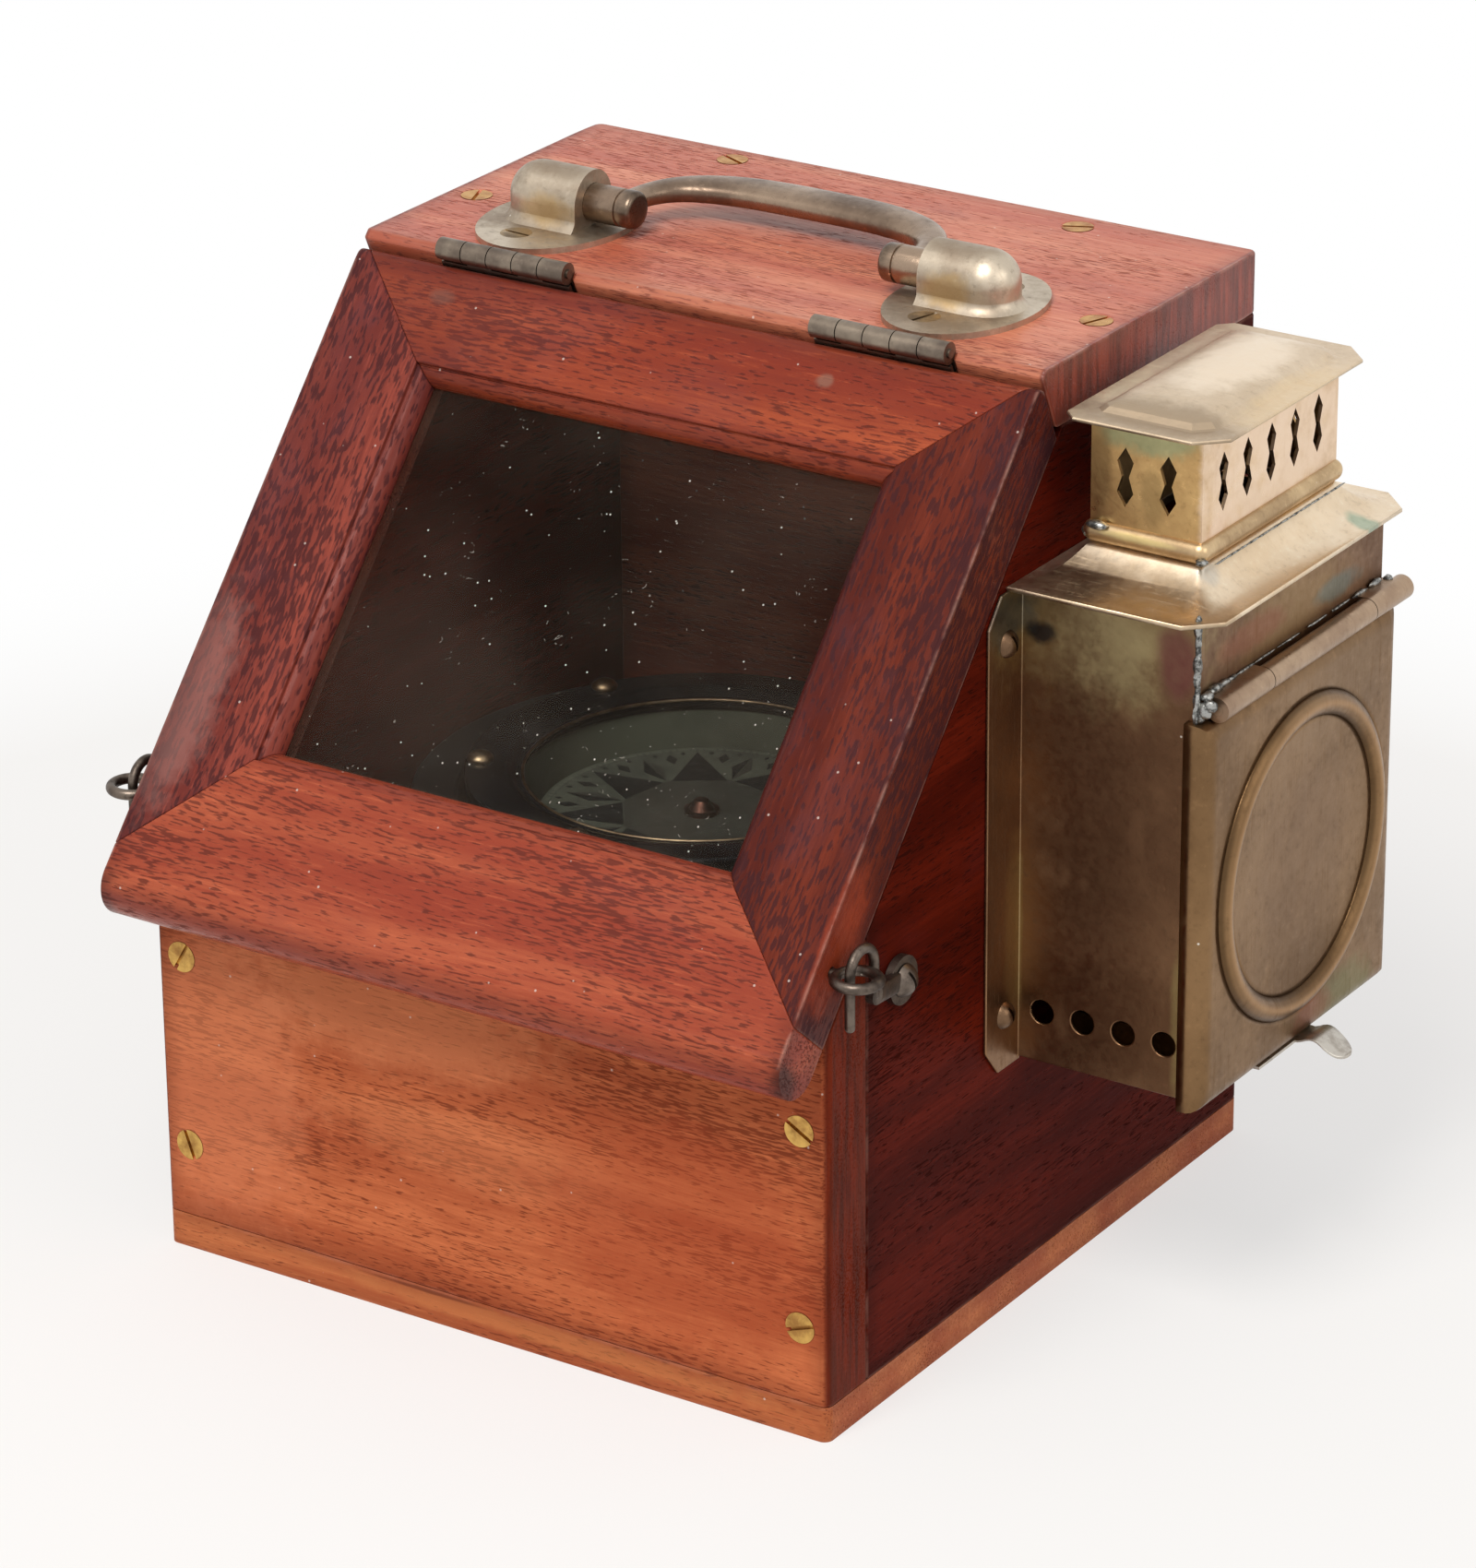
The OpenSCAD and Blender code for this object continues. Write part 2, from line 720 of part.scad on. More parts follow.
module hook() {
    wire = hook_wire_r;
    difference() {
        union() {
            rod_x(disc_gap, disc_gap + disc_t, hook_y, hook_z, hook_disc_r);
            hull() {
                rod_x(disc_gap, disc_gap + disc_t, hook_y, hook_z, joggle_r, $fn = 24);
                rod_x(hook_off - heel_t / 2, hook_off + heel_t / 2, leg_y, shank_end_z, heel_r, $fn = 24);
            }
            translate([hook_off, leg_y, shank_end_z]) cylinder(r = wire, h = loop_z - shank_end_z);
            translate([hook_off, leg_y, shank_end_z]) sphere(wire);
            translate([hook_off, tail_y + loop_r, loop_z]) rotate([90, 0, 90])
                rotate_extrude(angle = 180) translate([loop_r, 0]) circle(wire);
            translate([hook_off, tail_y, tail_low]) cylinder(r = wire, h = loop_z - tail_low);
            translate([hook_off, tail_y, tail_low]) sphere(wire);
        }
        rod_x(-1, disc_gap + disc_t + 3, hook_y, hook_z, hook_screw_r + run_gap);
        rod_x(disc_gap + disc_t, far, hook_y, hook_z, hook_head_r + 0.2);
    }
}
module left_hook() color(bronze) at_side(-1) hook();
module right_hook() color(bronze) at_side(1) hook();

module eye_shank(s, extra) {
    at_side(s) rod_x(-eye_shank_l - extra, eye_out - eye_r, eye_y, eye_z, eye_wire_r + extra);
}
module door_eyes() {
    color(bronze) for (s = [-1, 1]) {
        eye_shank(s, 0);
        at_side(s) translate([eye_out, eye_y, eye_z])
            rotate_extrude() translate([eye_r, 0]) circle(eye_wire_r);
    }
}

// --- carrying handle ---

plate_top = case_h + plate_t;
handle_z = plate_top + pivot_h;
housing_in = handle_x - 10;
plate_y = handle_y - 1;
handle_screw_dx = 3;
handle_screw_dy = plate_ry * 0.58;
handle_bore_r = handle_pin_r + run_gap;
short_l = plate_t + top_t - 3;
bore_deep = housing_l;

function ellipse(rx, ry, n) = [for (i = [0:n - 1]) [rx * cos(360 * i / n), ry * sin(360 * i / n)]];

module at_handle_screws() {
    for (s = [-1, 1], t = [-1, 1])
        translate([s * handle_x + t * handle_screw_dx, plate_y + t * handle_screw_dy, plate_top])
            rotate([0, 0, 35 + 40 * s]) children();
}
module short_screw() {
    difference() {
        csk_screw(0);
        translate([0, 0, -screw_l - 1]) cylinder(r = screw_head_r, h = screw_l + 1 - short_l);
    }
}
module handle_screw_hole() {
    intersection() {
        csk_hole();
        translate([0, 0, -short_l - seat_gap]) cylinder(r = far, h = far);
    }
}
module handle_screws() {
    color(bronze) at_handle_screws() short_screw();
}

// Drawn for the right; the screws stand the same way on both plates, so the left one mirrors them back
module handle_plate(s) {
    difference() {
        union() {
            translate([handle_x, plate_y, case_h])
                linear_extrude(plate_t) polygon(ellipse(plate_rx, plate_ry, 48));
            intersection() {
                union() {
                    rod_x(housing_in, housing_in + housing_l, handle_y, handle_z, housing_r);
                    translate([housing_in, handle_y - housing_r, plate_top - 0.01])
                        cube([housing_l, 2 * housing_r, pivot_h + 0.01]);
                    translate([housing_in + housing_l, handle_y, handle_z]) sphere(housing_r);
                    translate([housing_in + housing_l, handle_y, plate_top - 0.01])
                        cylinder(r = housing_r, h = pivot_h + 0.01);
                }
                translate([0, 0, case_h + plate_t / 2]) cylinder(r = far, h = far);
            }
        }
        rod_x(housing_in - 1, housing_in + bore_deep, handle_y, handle_z, handle_bore_r);
        mirror([s < 0 ? 1 : 0, 0, 0]) at_handle_screws() csk_hole();
    }
}

module left_handle_plate() color(aged_brass) mirror([1, 0, 0]) handle_plate(-1);
module right_handle_plate() color(aged_brass) handle_plate(1);

// The grip's middle line is a flattened arch between the two pivot pins
grip_rings = 30;
ring_sides = 16;
arm_x = housing_in - 7.8;
arch_power = 0.66;
function signed_pow(v, p) = sign(v) * pow(abs(v), p);
function grip_at(a) =
    [arm_x * signed_pow(cos(a), arch_power), handle_y + grip_reach * pow(sin(a), arch_power)];
function grip_dir(a) = let(d = grip_at(min(a + 0.5, 180)) - grip_at(max(a - 0.5, 0))) d / norm(d);
// How far the section has swelled from neck to middle, 0 to 1
function swell(a) = pow(sin(a), 1.5);
function grip_ring(a) =
    let(c = grip_at(a), d = grip_dir(a),
        w = neck_w + (grip_w - neck_w) * swell(a), t = neck_w - 0.5 + (grip_t - neck_w + 0.5) * swell(a))
    [for (k = [0:ring_sides - 1])
        let(q = 360 * k / ring_sides, side = w / 2 * cos(q), up = max(t / 2 * sin(q), -0.38 * t))
        [c[0] - side * d[1], c[1] + side * d[0], handle_z + up]];

// Faces of a solid lofted through m rings of n points, each ring counter-clockwise seen from its end
function loft_faces(n, m) = concat(
    [[for (i = [0:n - 1]) i]],
    [[for (i = [n - 1:-1:0]) (m - 1) * n + i]],
    [for (k = [0:m - 2], i = [0:n - 1])
        [k * n + i, (k + 1) * n + i, (k + 1) * n + (i + 1) % n, k * n + (i + 1) % n]]
);
module loft(rings) {
    n = len(rings[0]);
    polyhedron(points = [for (r = rings) each r], faces = loft_faces(n, len(rings)), convexity = 6);
}

module handle_bail() {
    color(aged_brass) {
        loft([for (i = [0:grip_rings]) grip_ring(180 * i / grip_rings)]);
        for (s = [-1, 1]) mirror([s < 0 ? 1 : 0, 0, 0])
            rod_x(housing_in - pin_out, housing_in + bore_deep - 1, handle_y, handle_z, handle_pin_r);
    }
}

// --- lamp on the right side ---

lamp_front = lamp_y - lamp_w / 2;
lamp_back = lamp_y + lamp_w / 2;
lamp_x = half_w + lamp_out;
lamp_top = lamp_z + lamp_h;
lamp_hinge_r = lamp_barrel_r;
lamp_hinge_x = lamp_x + lamp_barrel_r + 0.3;
lamp_hinge_z = lamp_z + pan_h + 0.3;
hatch_top = lamp_z + pan_h - 6;
hatch_lip = 4;
draught_n = 4;
draught_up = 13.8;
flange_screw_low = 14;
flange_screw_up = [flange_screw_low, lamp_h - flange_screw_low + 0.5];
flange_screw_r = 1.8;

module at_flange_screws() {
    for (y = [lamp_front - flange_w * 0.4, lamp_back + flange_w * 0.4], z = flange_screw_up)
        translate([half_w, y, lamp_z + z]) rotate([0, 90, 0]) children();
}
module flange_screw_hole() {
    translate([0, 0, -12 - seat_gap]) cylinder(r = flange_screw_r + seat_gap, h = 20);
}
module lamp_flange_screws() {
    color(bronze) at_flange_screws() translate([0, 0, sheet_t])
        round_screw(3.6, 2.6, flange_screw_r, 12 + sheet_t, 15);
}

// A fixing flange with its outer corners clipped, drawn in Y and Z
module flange_outline() {
    polygon([
        [0, 0], [flange_w - flange_clip * 0.8, 0], [flange_w, flange_clip],
        [flange_w, lamp_h + 1 - flange_clip], [flange_w - flange_clip * 0.8, lamp_h + 1], [0, lamp_h + 1]
    ]);
}

module lamp_body() {
    color(aged_brass) difference() {
        union() {
            difference() {
                translate([half_w, lamp_front, lamp_z]) cube([lamp_out, lamp_w, lamp_h]);
                translate([half_w - 1, lamp_front + sheet_t, lamp_z + sheet_t])
                    cube([lamp_out + 1 - sheet_t, lamp_w - 2 * sheet_t, lamp_h]);
            }
            across(half_w, half_w + sheet_t) {
                translate([lamp_back - sheet_t, lamp_z - 1]) flange_outline();
                translate([lamp_front + sheet_t, lamp_z - 1]) mirror([1, 0]) flange_outline();
            }
        }
        translate([lamp_x - 2 * sheet_t, lamp_front + hatch_lip, lamp_z + hatch_lip])
            cube([3 * sheet_t, lamp_w - 2 * hatch_lip, hatch_top - lamp_z - hatch_lip]);
        for (i = [0:draught_n - 1])
            rod_y(lamp_front - 1, lamp_back + 1,
                half_w + lamp_out / 2 + (i - (draught_n - 1) / 2) * draught_pitch,
                lamp_z + draught_up, draught_r);
        at_flange_screws() flange_screw_hole();
    }
}

// The chimney's outline at height z, grown by out, with the corners away from the case clipped more
function cap_ring(out, clip, z) =
    let(a = chimney_x0 + cap_shift - out, b = chimney_x1 + cap_shift + out,
        c = chimney_y0 - out, d = chimney_y1 + out, e = clip / 2) [
        [a + e, c, z], [b - clip, c, z], [b, c + clip, z], [b, d - clip, z],
        [b - clip, d, z], [a + e, d, z], [a, d - e, z], [a, c + e, z]
    ];
chimney_x0 = half_w + lamp_out / 2 + 2.5 - chimney_w / 2;
chimney_x1 = chimney_x0 + chimney_w;
chimney_y0 = lamp_y - chimney_l / 2;
chimney_y1 = lamp_y + chimney_l / 2;
roof_top = lamp_top + 0.5 + roof_rise;

// The lamp's roof sweeps up from a clipped rim to the chimney; share is 0 at the rim, 1 at the chimney
function roof_ring(share, z, in) =
    let(x0 = half_w + share * (chimney_x0 - half_w) + in,
        x1 = lamp_x + eave + share * (chimney_x1 - lamp_x - eave) - in,
        y0 = lamp_front - eave + share * (chimney_y0 - lamp_front + eave) + in,
        y1 = lamp_back + eave + share * (chimney_y1 - lamp_back - eave) - in,
        c = 7 * (1 - share) + 0.05)
    [[x0, y0, z], [x1 - c, y0, z], [x1, y0 + c, z], [x1, y1 - c, z], [x1 - c, y1, z], [x0, y1, z]];
roof_profile = [[0, 0], [0, 0.09], [0.3, 0.16], [0.55, 0.32], [0.8, 0.62], [1, 1]];
roof_under = [[0, -0.3], [0, -0.05], [0.3, 0.05], [0.55, 0.2], [0.8, 0.49], [1, 0.85]];
module roof_loft(profile, in) {
    loft([for (p = profile) roof_ring(p[0], lamp_top + p[1] * (roof_top - lamp_top), in)]);
}
module lamp_roof() {
    color(aged_brass) difference() {
        roof_loft(roof_profile, 0);
        intersection() {
            roof_loft(roof_under, sheet_t);
            translate([half_w, lamp_front + sheet_t, lamp_top - 5])
                cube([lamp_out - sheet_t, lamp_w - 2 * sheet_t, far / 10]);
        }
        translate([chimney_x0 + sheet_t, chimney_y0 + sheet_t, lamp_top - 5])
            cube([chimney_w - 2 * sheet_t, chimney_l - 2 * sheet_t, far / 10]);
    }
}

// Draught slots are shaped like two lozenges end to end
slots_end = 2;
slots_side = 5;
slot_neck = 2;
slot_up = 10.5;
module slot_outline() {
    h = slot_h;
    polygon([
        [0, 0], [slot_w / 2, h * 0.24], [slot_neck / 2, h * 0.5], [slot_w / 2, h * 0.76],
        [0, h], [-slot_w / 2, h * 0.76], [-slot_neck / 2, h * 0.5], [-slot_w / 2, h * 0.24]
    ]);
}
module chimney() {
    color(bright_brass) difference() {
        translate([chimney_x0, chimney_y0, roof_top]) cube([chimney_w, chimney_l, chimney_h]);
        translate([chimney_x0 + sheet_t, chimney_y0 + sheet_t, roof_top - 1])
            cube([chimney_w - 2 * sheet_t, chimney_l - 2 * sheet_t, chimney_h + 2]);
        for (i = [0:slots_end - 1])
            translate([chimney_x0 + chimney_w / 2 + (i - (slots_end - 1) / 2) * slot_pitch, chimney_y1 + 1,
                roof_top + slot_up]) rotate([90, 0, 0]) linear_extrude(chimney_l + 2) slot_outline();
        for (i = [0:slots_side - 1])
            translate([chimney_x0 - 1, lamp_y + (i - (slots_side - 1) / 2) * slot_pitch, roof_top + slot_up])
                rotate([90, 0, 90]) linear_extrude(chimney_w + 2) slot_outline();
    }
}
module chimney_foot_bead() {
    z = roof_top + foot_bead_r;
    sunk = 0.8;
    color(bright_brass) difference() {
        union() {
            for (x = [chimney_x0 + sunk, chimney_x1 - sunk])
                rod_y(chimney_y0 + sunk, chimney_y1 - sunk, x, z, foot_bead_r);
            for (y = [chimney_y0 + sunk, chimney_y1 - sunk])
                rod_x(chimney_x0 + sunk, chimney_x1 - sunk, y, z, foot_bead_r);
            for (x = [chimney_x0 + sunk, chimney_x1 - sunk], y = [chimney_y0 + sunk, chimney_y1 - sunk])
                translate([x, y, z]) sphere(foot_bead_r);
        }
        translate([chimney_x0, chimney_y0, roof_top - 1]) cube([chimney_w, chimney_l, chimney_h]);
    }
}

// The chimney's cap has a clipped rim, a hollow sweep and a raised, rounded middle
cap_z = roof_top + chimney_h;
cap_profile = [[0, 0], [0, 0.2], [0.3, 0.3], [0.4, 0.46], [0.5, 0.68], [0.62, 0.84], [0.78, 0.95], [0.92, 1]];
cap_under = [[0.36, -0.2], [0.36, 0.12], [0.5, 0.4], [0.62, 0.6], [0.78, 0.72]];
cap_fold = (chimney_w / 2 + cap_eave) * 0.85;
cap_shift = 0.8;
cap_clip = 7;
module cap_loft(profile) {
    loft([for (p = profile)
        cap_ring(cap_eave - p[0] * cap_fold, cap_clip * (1 - 0.8 * p[0]), cap_z + p[1] * cap_rise)]);
}
module chimney_cap() {
    color(aged_brass) difference() {
        cap_loft(cap_profile);
        intersection() {
            cap_loft(cap_under);
            translate([chimney_x0 + sheet_t, chimney_y0 + sheet_t, cap_z - 5])
                cube([chimney_w - 2 * sheet_t, chimney_l - 2 * sheet_t, 20]);
        }
    }
}

// Window between lamp and case: a disc of glass in a rebate, held by a brass ring
window_z = lamp_z + window_up;
window_seat = 2;
module window_hole() {
    rod_x(side_in - 1, half_w + 1, lamp_y, window_z, window_r);
    rod_x(half_w - window_t - 0.3, half_w + 1, lamp_y, window_z, window_r + window_seat);
}
module window_glass() {
    color(glass_colour)
        rod_x(half_w - window_t - 0.2, half_w - 0.1, lamp_y, window_z, window_r + window_seat - 0.1);
}
module window_ring() {
    color(aged_brass) difference() {
        rod_x(half_w, half_w + sheet_t * 1.2, lamp_y, window_z, window_r + 6);
        rod_x(half_w - 1, half_w + 3, lamp_y, window_z, window_r - 0.5);
    }
}

// Lamp door: a folded pan with an embossed ring, hung from a long hinge at its top
pan_x1 = lamp_x + pan_out;
pan_x0 = pan_x1 - pan_depth;
pan_y0 = lamp_front - pan_gap - sheet_t;
pan_y1 = lamp_back + pan_gap + sheet_t;
pan_z0 = lamp_z - pan_gap - sheet_t;
pan_top = lamp_hinge_z - lamp_barrel_r - 0.4;
boss_z = lamp_z + boss_up;
boss_proud = 2.2;
pan_r = 2.2;
// Outline of the pan with round lower corners, set in by in
module pan_outline(in) {
    y0 = pan_y0 + in;
    long = pan_y1 - pan_y0 - 2 * in;
    r = pan_r - in;
    translate([y0, pan_z0 + pan_r]) square([long, pan_top - pan_z0 - pan_r + in]);
    translate([y0 + r, pan_z0 + in]) square([long - 2 * r, pan_r]);
    for (y = [y0 + r, y0 + long - r]) translate([y, pan_z0 + pan_r]) circle(r);
}
module lamp_door() {
    color(aged_brass) {
        difference() {
            across(pan_x0, pan_x1) pan_outline(0);
            across(pan_x0 - 1, pan_x1 - sheet_t) pan_outline(sheet_t);
        }
        intersection() {
            translate([pan_x1 - boss_bead_r + boss_proud, lamp_y, boss_z]) rotate([0, 90, 0])
                rotate_extrude() translate([boss_r - boss_bead_r, 0]) circle(boss_bead_r);
            translate([pan_x1 - sheet_t / 2, pan_y0, pan_z0]) cube([10, far / 2, far / 2]);
        }
    }
}

// Three-knuckle hinge: the ends belong to the lamp, the middle to its door
lamp_hinge_l = lamp_w + 1.5;
lamp_end_l = [lamp_hinge_l * 0.243, lamp_hinge_l * 0.2];
lamp_hinge_shift = 3.8;
hinge_y0 = lamp_y + lamp_hinge_shift - lamp_hinge_l / 2;
hinge_y1 = hinge_y0 + lamp_hinge_l;
module lamp_bore() {
    rod_y(hinge_y0 - 1, hinge_y1 + 1, lamp_hinge_x, lamp_hinge_z, lamp_pin_r + run_gap);
}
module lamp_hinge_ends() {
    color(aged_brass) difference() {
        for (i = [0, 1]) {
            y = i == 0 ? hinge_y0 : hinge_y1 - lamp_end_l[1];
            rod_y(y, y + lamp_end_l[i], lamp_hinge_x, lamp_hinge_z, lamp_barrel_r);
            translate([lamp_x, y, lamp_hinge_z - lamp_barrel_r * 0.4])
                cube([lamp_hinge_x - lamp_x, min(y + lamp_end_l[i], lamp_back) - y, lamp_barrel_r * 1.4]);
        }
        lamp_bore();
    }
}
module lamp_door_knuckle() {
    y0 = hinge_y0 + lamp_end_l[0] + knuckle_gap;
    long = lamp_hinge_l - lamp_end_l[0] - lamp_end_l[1] - 2 * knuckle_gap;
    color(aged_brass) difference() {
        union() {
            rod_y(y0, y0 + long, lamp_hinge_x, lamp_hinge_z, lamp_barrel_r);
            translate([pan_x1 - 2 * sheet_t, y0, pan_top - 6])
                cube([sheet_t, long, lamp_hinge_z - pan_top + 6]);
        }
        lamp_bore();
    }
}
module lamp_hinge_pin() {
    color(aged_brass) rod_y(hinge_y0, hinge_y1, lamp_hinge_x, lamp_hinge_z, lamp_pin_r);
}

// Thumb tab: a steel strip under the door's lower edge with a humped, drooping tongue
tab_t = 0.9;
tab_y = lamp_y + 6;
strip_l = 28.5;
strip_d = 5;
tab_line = [[0, 0], [0.12, 0.7], [0.25, 1.4], [0.4, 1.3], [0.6, 0.2], [1, -2.4]];
module thumb_tab() {
    z = pan_z0 - tab_t;
    color(steel) {
        translate([pan_x1 - strip_d, tab_y + tab_w / 2 - strip_l, z]) cube([strip_d, strip_l, tab_t]);
        intersection() {
            translate([pan_x1, tab_y + tab_w / 2, z]) rotate([90, 0, 0]) linear_extrude(tab_w) polygon(concat(
                [for (p = tab_line) [p[0] * tab_out, p[1]]],
                [for (i = [len(tab_line) - 1:-1:0]) [tab_line[i][0] * tab_out, tab_line[i][1] + tab_t]]
            ));
            translate([0, 0, z - 10]) linear_extrude(20) {
                translate([pan_x1 - 1, tab_y - tab_w / 2]) square([tab_out + 1 - tab_w / 2, tab_w]);
                translate([pan_x1 + tab_out - tab_w / 2, tab_y]) circle(tab_w / 2);
            }
        }
    }
}

// --- oil font, burner and wick ---

lamp_mid_x = half_w + 23.5;
font_floor = lamp_z + sheet_t;
font_top = font_floor + font_h;
font_x0 = lamp_mid_x - font_w / 2;
font_y0 = lamp_y - font_l / 2;
neck_r = burner_r - 3;
font_r = 6;
guide_gap = 0.3;
guide_h = 6;
module oil_font() {
    color(aged_brass) difference() {
        translate([0, 0, font_floor]) linear_extrude(font_h)
            round_rect([font_x0, font_y0], [font_w, font_l], font_r);
        translate([0, 0, font_floor + sheet_t]) linear_extrude(font_h - 2 * sheet_t)
            round_rect([font_x0 + sheet_t, font_y0 + sheet_t],
                [font_w - 2 * sheet_t, font_l - 2 * sheet_t], font_r - sheet_t);
        translate([lamp_mid_x, lamp_y, font_floor + 5]) cylinder(r = neck_r, h = font_h);
    }
}
module font_guides() {
    color(aged_brass) for (s = [-1, 1])
        translate([font_x0, lamp_y + s * (font_l / 2 + guide_gap + sheet_t / 2) - sheet_t / 2, font_floor])
            cube([font_w, sheet_t, guide_h]);
}

tube_in_x = wick_w / 2 + 0.15;
tube_in_y = wick_t / 2 + 0.15;
tube_wall = 0.8;
burner_top = font_top + burner_h;
spindle_y = lamp_y + wick_t / 2 + 0.1 + wheel_r;
spindle_z = font_top + burner_h * 0.55;
module wick_space(extra) {
    translate([lamp_mid_x - tube_in_x - extra, lamp_y - tube_in_y - extra, 0])
        cube([2 * (tube_in_x + extra), 2 * (tube_in_y + extra), far]);
}
module burner() {
    color(aged_brass) difference() {
        union() {
            translate([lamp_mid_x, lamp_y, font_top]) cylinder(r = burner_r, h = burner_h);
            translate([lamp_mid_x, lamp_y, font_top - 4]) cylinder(r = neck_r - seat_gap, h = 5);
            translate([lamp_mid_x, lamp_y, font_top]) cylinder(r = burner_r + 1.5, h = 1.5);
        }
        translate([lamp_mid_x, lamp_y, font_top + 1.5]) cylinder(r = burner_r - 1, h = burner_h - 2.5);
        wick_space(tube_wall + seat_gap);
        rod_x(lamp_mid_x - far / 4, lamp_mid_x + far / 4, spindle_y, spindle_z, spindle_r + run_gap);
    }
}
module wick_tube() {
    z0 = burner_top - 1;
    color(aged_brass) difference() {
        intersection() {
            wick_space(tube_wall);
            translate([0, 0, z0]) cylinder(r = far, h = 1 + tube_h);
        }
        wick_space(0);
    }
}
wick_proud = 1.2;
wick_drop = 6;
module wick() {
    z0 = font_floor + sheet_t + wick_drop;
    color(cotton) translate([lamp_mid_x - wick_w / 2, lamp_y - wick_t / 2, z0])
        cube([wick_w, wick_t, burner_top + tube_h + wick_proud - z0]);
}
wheel_teeth = 10;
module wick_winder() {
    bearing = burner_r + 1;
    knob_t = 3;
    knob_x = lamp_mid_x + burner_r + 6;
    color(bright_brass) {
        rod_x(lamp_mid_x - bearing, knob_x, spindle_y, spindle_z, spindle_r);
        for (x = [-3, 3]) translate([lamp_mid_x + x - 0.8, spindle_y, spindle_z]) rotate([0, 90, 0])
            linear_extrude(1.6) polygon([for (i = [0:2 * wheel_teeth - 1])
                (i % 2 == 0 ? wheel_r : wheel_r - 0.7)
                    * [cos(180 * i / wheel_teeth), sin(180 * i / wheel_teeth)]]);
        translate([knob_x, spindle_y, spindle_z]) rotate([0, 90, 0]) difference() {
            cylinder(r = knob_r, h = knob_t);
            for (i = [0:11]) rotate([0, 0, 30 * i])
                translate([knob_r + 0.5, 0, -1]) cylinder(r = 1, h = knob_t + 2);
        }
    }
}

// --- gimbals ---

ring_in = gimbal_r - gimbal_w;
pin_bite = gimbal_w - 3;
bracket_w = 18;
bracket_t = 3;
bracket_reach_gap = 1;
bracket_down = 21;
bracket_boss_wall = 3;
bracket_screw_down = 15;
pin_reach = 4.2;
front_pin_end = compass_y - gimbal_r - pin_reach;
back_pin_end = compass_y + gimbal_r + pin_reach;
bracket_screw_l = 10;
bracket_screw_shank = 1.3;

module at_bracket_screws() {
    for (s = [-1, 1]) {
        translate([s * bracket_w * 0.3, front_in, gimbal_z - bracket_screw_down])
            rotate([-90, 0, 0]) children();
        translate([s * bracket_w * 0.3, back_in, gimbal_z - bracket_screw_down])
            rotate([90, 0, 0]) children();
    }
}
module bracket_screw_hole() {
    translate([0, 0, -bracket_screw_l - seat_gap]) cylinder(r = bracket_screw_shank + seat_gap, h = 20);
}
module bracket_screws() {
    color(bright_brass) at_bracket_screws() translate([0, 0, bracket_t])
        round_screw(2.6, 1.8, bracket_screw_shank, bracket_screw_l + bracket_t, 40);
}
// Each bracket is a plate on the board with a boss that carries the ring's pin
module pivot_brackets() {
    boss_r_out = gimbal_pin_r + bracket_boss_wall;
    color(black_paint) difference() {
        union() {
            translate([-bracket_w / 2, front_in, gimbal_z - bracket_down])
                cube([bracket_w, bracket_t, bracket_down + boss_r_out]);
            rod_y(front_in, compass_y - gimbal_r - bracket_reach_gap, 0, gimbal_z, boss_r_out);
            translate([-bracket_w / 2, back_in - bracket_t, gimbal_z - bracket_down])
                cube([bracket_w, bracket_t, bracket_down + boss_r_out]);
            rod_y(compass_y + gimbal_r + bracket_reach_gap, back_in, 0, gimbal_z, boss_r_out);
        }
        rod_y(front_in - 1, back_in + 1, 0, gimbal_z, gimbal_pin_r + run_gap);
        at_bracket_screws() bracket_screw_hole();
    }
}

module gimbal_ring() {
    color(black_paint) translate([0, compass_y, 0]) difference() {
        rotate_extrude() translate([ring_in, gimbal_z - gimbal_h / 2])
            round_rect([0, 0], [gimbal_w, gimbal_h], 1);
        rod_y(-gimbal_r - 1, -gimbal_r + pin_bite, 0, gimbal_z, gimbal_pin_r + seat_gap);
        rod_y(gimbal_r - pin_bite, gimbal_r + 1, 0, gimbal_z, gimbal_pin_r + seat_gap);
        rod_x(-gimbal_r + 3, gimbal_r - 3, 0, gimbal_z, gimbal_pin_r + run_gap);
    }
}
module gimbal_pins() {
    color(bright_brass) {
        rod_y(front_pin_end, compass_y - gimbal_r + pin_bite - seat_gap, 0, gimbal_z, gimbal_pin_r);
        rod_y(compass_y + gimbal_r - pin_bite + seat_gap, back_pin_end, 0, gimbal_z, gimbal_pin_r);
    }
}

// --- compass ---

bezel_top = gimbal_z + bezel_up;
compass_glass_t = 2.2;
glass_top = bezel_top - 3.3;
glass_low = glass_top - compass_glass_t;
bowl_rim = glass_low;
skirt_in = bowl_r + 4.8;
bowl_low = gimbal_z - bowl_deep;
flat_r = bowl_r * 0.54;

// Half outline of the bowl: a straight wall that rounds in to a flat bottom
function bowl_line(r, low, n) = [for (i = [0:n])
    let(a = 90 * i / n) [flat_r + (r - flat_r) * cos(a), low + (r - flat_r) * (1 - sin(a))]];
module bowl_half(r, low, top) {
    polygon(concat([[0, top], [r, top]], bowl_line(r, low, 10), [[0, low]]));
}
module compass_bowl() {
    color(black_paint) translate([0, compass_y, 0]) difference() {
        rotate_extrude() difference() {
            union() {
                bowl_half(bowl_r, bowl_low, bowl_rim);
                translate([bowl_r - 0.3, bowl_rim - 4])
                    square([skirt_in - 0.1 - bowl_r + 0.3, 4 + compass_glass_t]);
            }
            bowl_half(bowl_r - bowl_t, bowl_low + bowl_t, bowl_rim + 1);
        }
        translate([0, 0, bowl_low - 1]) cylinder(r = 2.5 + seat_gap, h = bowl_t + 2);
    }
}
